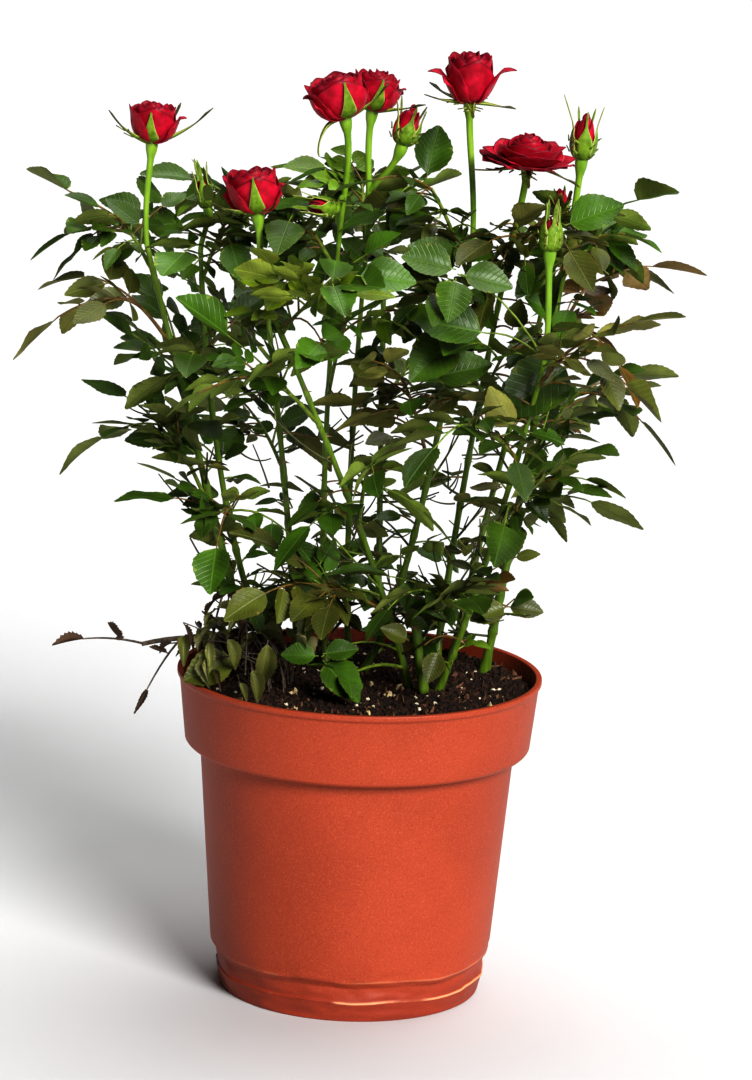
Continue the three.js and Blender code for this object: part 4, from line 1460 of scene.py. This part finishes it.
def petalMaterial():
    s = Shading("petalVelvet", 0.5, 0.22, sheen=0.12, sheenTint=petalSkin["velvet"])
    rise = s.uv()[1]
    streaks = s.noise(petalSkin["streaks"])
    red = s.blend(s.span(streaks, 0.3, 0.75), *petalSkin["red"])
    foot = s.blend(s.span(rise, 0.0, 0.3, 0.7, 0.0), red, petalSkin["foot"])
    rim = s.blend(s.span(rise, 0.9, 1.0, 0.0, 0.75), foot, petalSkin["rim"])
    return s.finish(rim, streaks, 0.3)


def addPetal(sheets, base, axis, turn, profile, halfWidth, wrap, tuck, lip, point, seed):
    # profile: the (radius, height) handles of the petal's middle line, from its foot to its lip
    petal, across, along = bloom["petal"], bloom["across"], bloom["along"]
    foot, widest = petal["foot"], petal["widest"]
    acrossIt, alongIt, apart = petal["ripple"]
    tuckAll, tuckWide = petal["tuck"]
    line = Bezier(*[(r, h, 0) for r, h in profile])
    out = turned(squareTo(axis), axis, turn)
    side = axis.cross(out)
    rows = []
    for j in range(along + 1):
        v = j / along
        row = []
        for i in range(across + 1):
            u = 2 * i / across - 1
            t = v * (1 - point * u * u * v)
            here = line.point(t)
            r = max(here.x, petal["radius"])
            swell = foot + (1 - foot) * math.sin(math.pi / 2 * min(1, t / widest))
            past = max(0, t - widest) / petal["closes"]
            close = math.sqrt(max(petal["least"], 1 - past ** 2))
            bow = max(r, petal["bow"]) * wrap
            a = u * halfWidth * swell * close / bow
            edge = ease(petal["edge"], 1, max(abs(u) * ease(*petal["sides"], t), t))
            ripple = noise.noise(Vector((u * acrossIt + seed, t * alongIt, seed * apart)))
            ruffle = bloom["ruffle"] * ripple * t * t
            push = lip * edge * edge + ruffle + tuck * u * (tuckAll + tuckWide * r)
            radial = r + push - bow * (1 - math.cos(a))
            height = here.y - abs(lip) * petal["drop"] * edge * edge
            row.append(base + axis * height + out * radial + side * (bow * math.sin(a)))
        rows.append(row)
    sheets.grid(rows)


def uprightProfile(head, q, share=1.0):
    # the (radius, height) handles of a petal in the cup: q runs from the innermost to the outermost
    cup = bloom["cup"]
    wide, tall, openness = head["width"] / 2, head["height"], head["open"]
    stage = "bud" if openness < bloom["bud"] else "open"
    flat = ease(*cup["flat"], openness)
    belly = (wide - bloom["inset"][stage]) * mix(*cup["belly"], q ** cup["crowding"])
    (inLean, outLean), (inTop, outTop) = (cup[stage][key] for key in ("lean", "top"))
    lean = mix(inLean, outLean + cup["flatLean"] * flat * q, q)
    top = tall * mix(inTop, outTop - cup["flatTop"] * flat, q) * share
    (lowOut, lowUp), (highOut, highUp) = cup["low"], cup["high"]
    low, high = (belly * lowOut, tall * lowUp), (belly * highOut, top * highUp)
    return cup["foot"], low, high, (belly * (1 + lean), top)


def addBloom(sheets, head, seed):
    draw = Draws(seed)
    cup, folded = bloom["cup"], bloom["foldedDown"]
    base = Vector(head["base"])
    axis = heading(*head["faces"])
    wide, tall, openness = head["width"] / 2, head["height"], head["open"]
    isBud = openness < bloom["bud"]
    count = bloom["budPetals"] if isBud else bloom["petals"]
    for i in range(count):
        q = i / (count - 1)
        turn = goldenTurn * i + draw.between(*bloom["swing"])
        profile = uprightProfile(head, q, draw.between(*bloom["tall"]))
        belly = profile[1][0] / cup["low"][0]
        least, perBelly = cup["halfLimit"]
        half = min(wide * mix(*cup["half"], q), least + perBelly * belly)
        lip = mix(*bloom["lip"]["bud" if isBud else "open"], q)
        wrap, tuck, point = mix(*cup["wrap"], q), mix(*cup["tuck"], q), mix(*bloom["point"], q)
        addPetal(sheets, base, axis, turn, profile, half, wrap, tuck, lip, point, seed + i)
    for i, turn in enumerate(head.get("folded", ())):
        reach = head["spread"] / 2 * draw.between(*folded["reach"]) - folded["trim"]
        full = ease(*folded["full"], openness)
        top = tall * mix(*folded["top"], full) * draw.between(*folded["tall"])
        bulge = (wide * mix(*folded["bulge"], full), top * mix(*folded["height"], full))
        profile = (folded["foot"], (wide * folded["out"], 0), bulge, (reach, top))
        turn += draw.between(*folded["swing"])
        shape = (folded[key] for key in ("wrap", "tuck", "lip", "point"))
        addPetal(
            sheets, base, axis, turn, profile, wide * folded["half"], *shape, seed + folded["seed"] + i
        )


sepalSkin = {
    "green": ((0.1, 0.18, 0.009), (0.2, 0.32, 0.025)), "margin": (0.5, 0.5, 0.16),
    "tip": (0.035, 0.026, 0.008),
}


def sepalMaterial():
    s = Shading("sepalGreen", 0.5, 0.25)
    across, along = s.uv()[:2]
    off = s.sum("ABSOLUTE", s.sum("SUBTRACT", across, 0.5))
    green = s.blend(s.span(s.noise(400.0), 0.3, 0.7), *sepalSkin["green"])
    pale = s.blend(s.span(off, 0.36, 0.5, 0.0, 0.7), green, sepalSkin["margin"])
    tip = s.blend(s.span(along, 0.3, 0.75, 0.0, 0.92), pale, sepalSkin["tip"])
    return s.finish(tip, s.noise(600.0), 0.3)


def addSepal(sheets, base, axis, turn, line, widths, bows, top):
    # line: (radius, height) points from the calyx to the tip, with the half width and bow at each
    out = turned(squareTo(axis), axis, turn)
    side = axis.cross(out)
    rows = []
    for j, ((r, h), width, bow) in enumerate(zip(line, widths, bows)):
        before, after = line[max(0, j - 1)], line[min(j + 1, len(line) - 1)]
        ahead = Vector((after[0] - before[0], after[1] - before[1])).normalized()
        row = []
        for u in (-1, -0.5, 0, 0.5, 1):
            a = u * width / bow
            inward = bow * (1 - math.cos(a))
            radial, height = r - ahead.y * inward, h + ahead.x * inward
            row.append(base + out * radial + axis * height + side * (bow * math.sin(a)))
        rows.append(row)
    sheets.grid(rows, top)
    return [row[2] for row in rows], side


def addLobes(sheets, spine, side, widths, length, draw):
    # thin side lobes, which make a sepal look feathery
    for j, s in calyx["lobes"]:
        along = (spine[j + 1] - spine[j]).normalized()
        away = (side * s + along * draw.between(*calyx["lobeAhead"])).normalized()
        across = away.cross(side.cross(along)).normalized()
        foot = spine[j] + side * (s * widths[j] * calyx["lobeFoot"])
        reach = length * draw.between(*calyx["lobe"])
        sheets.grid([
            [foot + away * (reach * t) + across * (width * u) for u in (-1, -0.5, 0, 0.5, 1)]
            for t, width in calyx["lobeShape"]
        ])


def huggingSepal(head, isBud, draw):
    # along the cup, then on past it as a tail
    hug = calyx["hug"]
    wall = Bezier(*[(r, h, 0) for r, h in uprightProfile(head, 1)])
    tall, steps = head["height"], calyx["steps"]
    reached = head["wrapped"] if isBud else draw.between(*hug["reached"])
    tail = draw.between(*hug["budTail"]) * tall if isBud else hug["openTail"] * tall
    lean = draw.between(*hug["lean"])
    look = calyx["closed" if isBud and reached > hug["closed"] else "hugging"]
    tail, lean = tail * look["tail"], lean * look["lean"]
    narrows = hug["narrows"]["bud" if isBud else "open"]
    line, widths, bows = [], [], []
    for j in range(steps + 1):
        t = j / steps * (1 + hug["past"])
        here = wall.point(reached * min(1, t))
        beyond = max(0, t - 1) / hug["past"] * tail
        r = here.x + look["puff"]
        line.append((r + lean * beyond, here.y + beyond))
        bows.append(max(r, hug["bow"]))
        body = min(1, max(0.0, hug["ends"] - t) / narrows)
        full = min(math.pi * r / calyx["sepals"] * hug["overlap"], hug["widest"])
        widths.append(max(full * body, look["slender"] if j < steps else hug["tip"]))
    return line, widths, bows, tall


def foldedSepal(head, k, hangs, draw):
    # out from the calyx in a bow; every other one widens again to a small leaf near its tip
    foldOut = calyx["foldOut"]
    wide, steps = head["width"] / 2, calyx["steps"]
    length = calyx["length"] * draw.between(*foldOut["length"]) * head.get("sepals", 1)
    openness = ease(*foldOut["range"], head["open"])
    lead, last = (
        mix(*foldOut[key], openness) + draw.between(*foldOut[swing])
        for key, swing in (("lead", "leadSwing"), ("last", "lastSwing"))
    )
    if hangs:
        hanging = calyx["hanging"]
        lead, last, length = hanging["lead"], hanging["last"], length * hanging["length"]
    widest, share = foldOut["widest"]
    broad = min(widest, wide * share)
    startOut, startShare, startUp = foldOut["start"]
    line = [(min(startOut, wide * startShare), startUp)]
    widths, bows = [broad * foldOut["startWidth"]], [foldOut["bow"][0]]
    leafSize, leafAt, leafReach = foldOut["leafy"]
    for j in range(1, steps + 1):
        t = j / steps
        angle = math.radians(mix(lead, last, t ** foldOut["curl"]))
        r, h = line[-1]
        line.append((r + math.sin(angle) * length / steps, h + math.cos(angle) * length / steps))
        leafy = leafSize * math.exp(-(((t - leafAt) / leafReach) ** 2)) if k % 2 else 0
        body = max(foldOut["slender"], 1 - t / foldOut["narrows"]) ** foldOut["soften"]
        widths.append(broad * (body + leafy) * (foldOut["tip"] if j == steps else 1))
        bows.append(mix(*foldOut["bow"], min(1, t * foldOut["bowEnds"])))
    return line, widths, bows, length


def addCalyx(sheets, head, seed):
    # five sepals: those of a bud hug it, and on an open head all but one or two have folded out
    draw = Draws(seed)
    base, axis = Vector(head["base"]), heading(*head["faces"])
    isBud = head["open"] < bloom["bud"]
    for k in range(calyx["sepals"]):
        turn = 360 / calyx["sepals"] * k + draw.between(*calyx["swing"]) + (0 if isBud else 8)
        hugs = isBud or (head["open"] < calyx["hugsBelow"] and k in (0, 3))
        hangs = k == head.get("hanging")
        shape = huggingSepal(head, isBud, draw) if hugs else foldedSepal(head, k, hangs, draw)
        line, widths, bows, length = shape
        top = 0.5 if hugs else 0.2 if hangs else 1  # how much of it is dark towards the tip
        spine, side = addSepal(sheets, base, axis, turn, line, widths, bows, top)
        if k % 2 == 0 and (isBud or not hugs) and not hangs:
            addLobes(sheets, spine, side, widths, length, draw)


def makeFlowers():
    petals, sepals, stalks = Sheets(), Sheets(), Tubes()
    steps = stalk["steps"]
    for n, shoot in enumerate(shoots):
        c = caneNamed(shoot["cane"])
        tangent = caneCurve(c).tangent(1)
        main = None
        for i, head in enumerate(shoot["heads"]):
            base, axis = Vector(head["base"]), heading(*head["faces"])
            start = main.point(stalk["fork"]) if main else Vector(c["tip"]) + tangent * clear
            straight = (base - start).normalized()
            leave = Vector((straight.x, straight.y, 0)).normalized() + up if main else straight + tangent
            length = (base - start).length
            path = Bezier(
                start,
                start + leave.normalized() * (length * stalk["leave"]),
                base - axis * (length * stalk["arrive"]),
                base + axis,
            )
            neck = min(stalk["neck"], head["width"] / stalk["slimNeck"])
            hip = min(stalk["hip"], head["width"] / stalk["slimHip"])
            points = [path.point(k / steps) for k in range(steps + 1)]
            radii = []
            for k, p in enumerate(points):
                swelling = (hip - neck) * ease(*stalk["swells"], (p - points[-1]).length)
                radii.append(mix(stalk["base"], neck, k / steps) + swelling)
            if not main:
                points.insert(0, points[0] - tangent * 2)
                radii.insert(0, radii[0])
            main = main or path
            stalks.add(points, radii)
            seed = 100 * n + 17 * i + 3
            addBloom(petals, head, seed)
            addCalyx(sepals, head, seed + 7)
    flowers = [name for name in nodes if name.startswith("flower_")]
    settle(petals.build("petals", bloom["thick"], petalMaterial()), "rose", *flowers)
    settle(sepals.build("sepals", calyx["thick"], sepalMaterial()), "young_leaf")
    skin = plainMaterial(*stalk["skin"], stretch=stalk["streaks"])
    settle(stalks.build("flower_stalks", stalk["sides"], skin), "cane")


makeFlowers()

# Pot
pot = {
    "rim": 85, "height": 151.5, "wall": 1.6, "lipProud": 1.2, "lipHeight": 2.4, "lipUnder": 3.5,
    "bandHeight": 34.7, "bandFoot": 80.6, "bandEdge": 1.5, "bodyTop": 73.5, "bodyBottom": 65.8,
    "shoulder": 20, "footRadius": 61, "footRing": 4.5, "beadProud": 2.6, "beadHeight": 9.5,
    "recess": 2.4, "pad": 15, "facets": 180, "dent": 0.7, "round": 0.7, "step": 6, "footStep": 0.7,
    "holes": 6, "holeRing": 44, "holeRadius": 4.2,
}


def rounded(corners, radius, steps=4):
    # the outline with each corner turned into a small curve
    line = [corners[0]]
    for trio in zip(corners, corners[1:], corners[2:]):
        before, corner, after = (Vector((*p, 0)) for p in trio)
        back, ahead = before - corner, after - corner
        bend = Bezier(
            corner + back.normalized() * min(radius, back.length * 0.45),
            corner,
            corner + ahead.normalized() * min(radius, ahead.length * 0.45),
        )
        line += [tuple(bend.point(i / steps))[:2] for i in range(steps + 1)]
    return line + [corners[-1]]


def divided(line, step):
    # the outline with its long straights cut into shorter ones
    cut = [line[0]]
    for a, b in zip(line, line[1:]):
        count = max(1, math.ceil(math.dist(a, b) / step))
        cut += [(mix(a[0], b[0], i / count), mix(a[1], b[1], i / count)) for i in range(1, count + 1)]
    return cut


def lathe(line, facets):
    # an outline from the axis out, up and back to the axis, turned round Z
    points, faces, rings = [], [], []
    for r, z in line:
        count = 1 if r < 1e-6 else facets
        rings.append([len(points) + k for k in range(count)])
        for k in range(count):
            angle = 2 * math.pi * k / facets
            points.append(Vector((r * math.cos(angle), r * math.sin(angle), z)))
    for low, high in zip(rings, rings[1:]):
        for k in range(facets):
            n = (k + 1) % facets
            quad = (low[k % len(low)], low[n % len(low)], high[n % len(high)], high[k % len(high)])
            faces.append(tuple(dict.fromkeys(quad)))
    return points, faces


def footDent(p):
    # the thin foot is creased and dented
    if math.hypot(p.x, p.y) < pot["footRadius"] - pot["footRing"]:
        return Vector()
    low = ease(27, 19, p.z) * ease(0, 2.5, p.z)
    out = Vector((p.x, p.y, 0)).normalized()
    crease = noise.noise(Vector((3.2 * out.x, 3.2 * out.y, p.z * 0.16)))
    fine = noise.noise(Vector((9 * out.x, 9 * out.y, p.z * 0.3 + 7)))
    sway = noise.noise(Vector((2.1 * out.x + 5, 2.1 * out.y, 0)))
    inward = pot["dent"] * (1.5 * crease + 0.7 * fine) - 0.15
    return low * (out * inward + up * (2.2 * sway * ease(0, 6, p.z)))


potSkin = {
    "base": ((0.315, 0.05, 0.018), (0.36, 0.059, 0.022)), "speckle": (0.58, 0.13, 0.055),
    # between the pits and the scuffs: the darker tone that the pot takes towards the bottom
    "pit": (0.2, 0.022, 0.01), "darkBottom": (0.25, 0.033, 0.014), "scuff": (0.74, 0.33, 0.17),
    "spot": (0.06, 0.01, 0.006),
    "bottomDarkened": (0.01, 0.02),  # metres up, where the darker tone towards the bottom fades out
    "spotted": ((0.058, 0.068), (0.122, 0.13)),  # metres to the right and up, where the spots begin
}


def potMaterial():
    s = Shading("terracottaPlastic", 0.5, 0.34)
    right, height = (s.split(s.object)[axis] for axis in (0, 2))
    grain = s.noise(1500.0, 2.0)
    base = s.blend(s.span(s.noise(16.0), 0.35, 0.65), *potSkin["base"])
    speckled = s.blend(s.span(grain, 0.45, 0.8, 0.0, 0.5), base, potSkin["speckle"])
    pitted = s.blend(s.span(s.noise(1100.0, 1.0), 0.6, 0.8, 0.0, 0.6), speckled, potSkin["pit"])
    # darker towards the bottom, in patches, fading out a couple of centimetres up
    low = s.span(height, *potSkin["bottomDarkened"], 0.7, 0.0)
    darkBottom = s.sum("MULTIPLY", low, s.span(s.noise(45.0, 5.0), 0.2, 0.7, 0.5))
    bottomDarkened = s.blend(darkBottom, pitted, potSkin["darkBottom"])
    broken = s.span(s.noise(26.0, 6.0), 0.44, 0.56)
    scuffed = s.blend(s.sum("MULTIPLY", s.attribute("worn"), broken), bottomDarkened, potSkin["scuff"])
    aside, above = potSkin["spotted"]
    collar = s.sum("MULTIPLY", s.span(right, *aside), s.span(height, *above))
    spots = s.sum("MULTIPLY", collar, s.span(s.noise(520.0, 1.0), 0.7, 0.74, 0.0, 0.85))
    spotted = s.blend(spots, scuffed, potSkin["spot"])
    relief = s.sum("ADD", s.sum("MULTIPLY", grain, 0.5), s.noise(60.0))
    return s.finish(spotted, relief, 0.14, 0.0004)


def makePot():
    tall, wall = pot["height"], pot["wall"]
    bandLow = tall - pot["bandHeight"]
    bandTop = pot["rim"] - pot["lipProud"]
    floor = pot["recess"] + wall
    foot = pot["footRadius"]
    bead = foot + pot["beadProud"]
    outline = [
        (0, 0), (pot["pad"], 0), (pot["pad"] + wall, pot["recess"]), (foot - pot["footRing"], pot["recess"]),
        (foot - pot["footRing"] + wall, 0), (foot, 0), (bead - 0.5, pot["beadHeight"] - 0.9),
        (bead, pot["beadHeight"]), (bead - 0.8, pot["beadHeight"] + 0.7), (bead - 0.5, 16.5),
        (pot["bodyBottom"] - 0.9, pot["shoulder"] - 1.2), (pot["bodyBottom"], pot["shoulder"]),
        (pot["bodyTop"], bandLow), (pot["bandFoot"] - pot["bandEdge"], bandLow),
        (pot["bandFoot"], bandLow + pot["bandEdge"]), (bandTop, tall - pot["lipUnder"]),
        (pot["rim"], tall - pot["lipHeight"]), (pot["rim"], tall), (bandTop - wall, tall),
        (pot["bandFoot"] - wall, bandLow + wall), (pot["bodyTop"] - wall, bandLow + wall),
        (pot["bodyBottom"] - wall, pot["shoulder"]), (foot - wall, floor), (0, floor),
    ]
    line = divided(rounded(outline, pot["round"]), pot["step"])
    fine = []
    for a, b in zip(line, line[1:]):
        isFoot = a[0] > foot - 1 and max(a[1], b[1]) < 30
        fine += divided([a, b], pot["footStep"])[:-1] if isFoot else [a]
    points, faces = lathe(fine + [line[-1]], pot["facets"])
    worn = [
        max(ease(0.8, 0.1, abs(p.z - pot["beadHeight"])), 0.35 * ease(0.8, 0.1, abs(p.z - pot["shoulder"])))
        if math.hypot(p.x, p.y) > foot - 0.5 else 0.0
        for p in points
    ]
    mesh = meshOf("pot", [p + footDent(p) for p in points], faces)
    setLayer(mesh, "worn", "FLOAT", "POINT", worn)
    mesh.materials.append(potMaterial())
    shell = makeObject("pot_shell", mesh)
    drills = []
    for i in range(pot["holes"]):
        angle = (i + 0.5) / pot["holes"] * 2 * math.pi
        x, y = pot["holeRing"] * math.cos(angle), pot["holeRing"] * math.sin(angle)
        ring, sides = lathe([(0, -3), (pot["holeRadius"], -3), (pot["holeRadius"], 9), (0, 9)], 24)
        drills.append(([p + Vector((x, y, 0)) for p in ring], sides))
    drill = makeObject("drill", meshOf("drill", *gather(drills)))
    cut = shell.modifiers.new("holes", "BOOLEAN")
    cut.object = drill
    cut.operation = "DIFFERENCE"
    setPlain(shell)
    bpy.data.objects.remove(drill)
    settle(shell, "pot", "pot")


makePot()

# Compost
soil = {
    "crumble": 2.5, "level": 76, "facets": 150, "rings": 60,
    "lumps": ((0.09, 1.4), (0.35, 0.7), (1.1, 0.35)),  # how fine each swell is, and its height
    "heap": 2.5,  # at the left, where the dead leaves lie
    "settled": 0.6,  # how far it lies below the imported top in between
    "skin": ("compost", (0.008, 0.005, 0.004), (0.03, 0.016, 0.01), 500.0, 0.95, 1.0, 0.0015),
}
# What lies on the compost: the detail, roughness and squash of a grain, how many there are to the square
# metre, their smallest and largest size, the seed, and the skin's dark and light tone, grain and finish.
grains = {
    "compost_crumbs": {
        "detail": 1, "roughness": 0.9, "squash": (1, 1, 1), "density": 210000.0, "sizes": (0.8, 3.0),
        "seed": 3, "skin": ("crumb", (0.012, 0.007, 0.005), (0.045, 0.022, 0.013), 300.0, 0.95),
        "specular": 0.2,
    },
    "perlite_grains": {
        "detail": 2, "roughness": 0.7, "squash": (1, 1, 1), "density": 9000.0, "sizes": (0.6, 2.2),
        "seed": 8, "skin": ("perlite", (0.5, 0.42, 0.28), (0.75, 0.68, 0.52), 900.0, 0.8),
    },
    "pale_lumps": {
        "detail": 2, "roughness": 1.2, "squash": (1.2, 0.9, 0.7), "density": 1100.0, "sizes": (2.0, 4.6),
        "seed": 12, "skin": ("paleLump", (0.34, 0.24, 0.1), (0.62, 0.5, 0.28), 500.0, 0.85),
    },
    "bark_chips": {
        "detail": 1, "roughness": 0.8, "squash": (1.6, 0.7, 0.3), "density": 16000.0, "sizes": (1.2, 4.0),
        "seed": 5, "skin": ("barkChip", (0.05, 0.02, 0.01), (0.18, 0.08, 0.035), 600.0, 0.9),
    },
}


def crumbMesh(name, seed, subdivisions, roughness, squash=(1, 1, 1)):
    bm = bmesh.new()
    bmesh.ops.create_icosphere(bm, subdivisions=subdivisions, radius=0.5)
    for v in bm.verts:
        v.co *= 1 + roughness * noise.noise(v.co * 3 + Vector((seed * 3.1, 0, 0)))
        v.co = Vector([a * b for a, b in zip(v.co, squash)])
    mesh = bpy.data.meshes.new(name)
    bm.to_mesh(mesh)
    bm.free()
    return mesh


def makeCompost():
    edge, level = soilTop - soil["crumble"], soil["level"]

    def lumpy(p):
        if p.z < edge - 1:
            return p
        rise = sum(noise.noise(p * fineness) * height for fineness, height in soil["lumps"])
        heap = soil["heap"] * ease(40, 70, -p.x) * ease(80, 72, math.hypot(p.x, p.y))
        return p + up * (rise - soil["settled"] + heap)

    line = divided([
        (0, 5), (58, 5), (63.5, 22), (71, 114), (78.6, 118.6), (81.3, edge), (78, edge + 1.6),
        (level, soilTop),
    ], 12)
    rings = soil["rings"]
    line += [(level * (1 - i / rings), soilTop) for i in range(1, rings + 1)]
    points, faces = lathe(line, soil["facets"])
    points = [lumpy(p) for p in points]
    mesh = meshOf("compost", points, faces)
    mesh.materials.append(plainMaterial(*soil["skin"], specular=0.2))
    settle(makeObject("compost_bed", mesh), "compost", "compost")
    surface = [f for f in faces if all(points[i].z > edge - 0.5 for i in f)]
    for name, kind in grains.items():
        seed, (small, large) = kind["seed"], kind["sizes"]
        shapes = shapeSet(name, [
            crumbMesh(f"{name}{i}", seed + i, kind["detail"], kind["roughness"], kind["squash"])
            for i in range(5)
        ])
        skin = plainMaterial(*kind["skin"], specular=kind.get("specular", 0.5))
        values = {
            "Shapes": shapes, "Density": kind["density"], "Smallest": small * mm, "Largest": large * mm,
            "Seed": seed, "Material": skin,
        }
        settle(runTree(makeObject(name, meshOf(name, points, surface)), scatterTree, values), "compost")


makeCompost()

# Floor, light and camera
studio = {
    "sky": 0.07, "gamma": 0.73, "floor": 0.58, "floorSize": 20,
    "key": {"strength": 5.9, "turn": 29, "rise": 31, "softness": 26},
    "top": {"strength": 2.7, "turn": 150, "rise": 70, "softness": 50},
}
camera = {"distance": 2.0, "down": 12.43, "roll": -2.21, "look": (0.0052, 0, 0.2139), "lens": 143.93}


def makeFloor():
    size, pale = studio["floorSize"], studio["floor"]
    mesh = bpy.data.meshes.new("floor")
    corners = [(-size, -size, 0), (size, -size, 0), (size, size, 0), (-size, size, 0)]
    mesh.from_pydata(corners, [], [(0, 1, 2, 3)])
    mesh.materials.append(plainMaterial("paleFloor", [pale] * 3, [pale * 0.98] * 3, 3.0, 0.9, 0.0))
    floor = makeObject("floor", mesh)


def makeLight(name, strength, turn, rise, softness):
    # turn: degrees round from the front towards the right
    data = bpy.data.lights.new(name, "SUN")
    data.energy = strength
    data.angle = math.radians(softness)
    light = makeObject(name, data)
    light.rotation_mode = "QUATERNION"
    light.rotation_quaternion = heading(turn - 90, rise).to_track_quat("Z", "Y")


def makeStudio():
    makeFloor()
    scene = bpy.context.scene
    scene.view_settings.view_transform = "Standard"
    scene.view_settings.gamma = studio["gamma"]
    scene.world = bpy.data.worlds.new("studio")
    scene.world.use_nodes = True
    sky = scene.world.node_tree.nodes["Background"].inputs
    sky["Color"].default_value = (1, 1, 1, 1)
    sky["Strength"].default_value = studio["sky"]
    for name in ("key", "top"):
        makeLight(name, **studio[name])
    print("studio: floor, sky and two lights")


def makeCamera():
    data = bpy.data.cameras.new("camera")
    data.sensor_width, data.lens = 36, camera["lens"]
    data.clip_end = 100
    view = makeObject("camera", data)
    down = math.radians(camera["down"])
    ahead = Vector((0, math.cos(down), -math.sin(down)))
    right, top = Vector((1, 0, 0)), Vector((0, math.sin(down), math.cos(down)))
    level = Matrix((right, top, -ahead)).transposed()
    view.rotation_mode = "QUATERNION"
    view.rotation_quaternion = Quaternion(ahead, math.radians(camera["roll"])) @ level.to_quaternion()
    view.location = Vector(camera["look"]) - ahead * camera["distance"]
    bpy.context.scene.camera = view
    print(f"camera: {camera['lens']} mm lens, {camera['down']} degrees down")


makeStudio()
makeCamera()
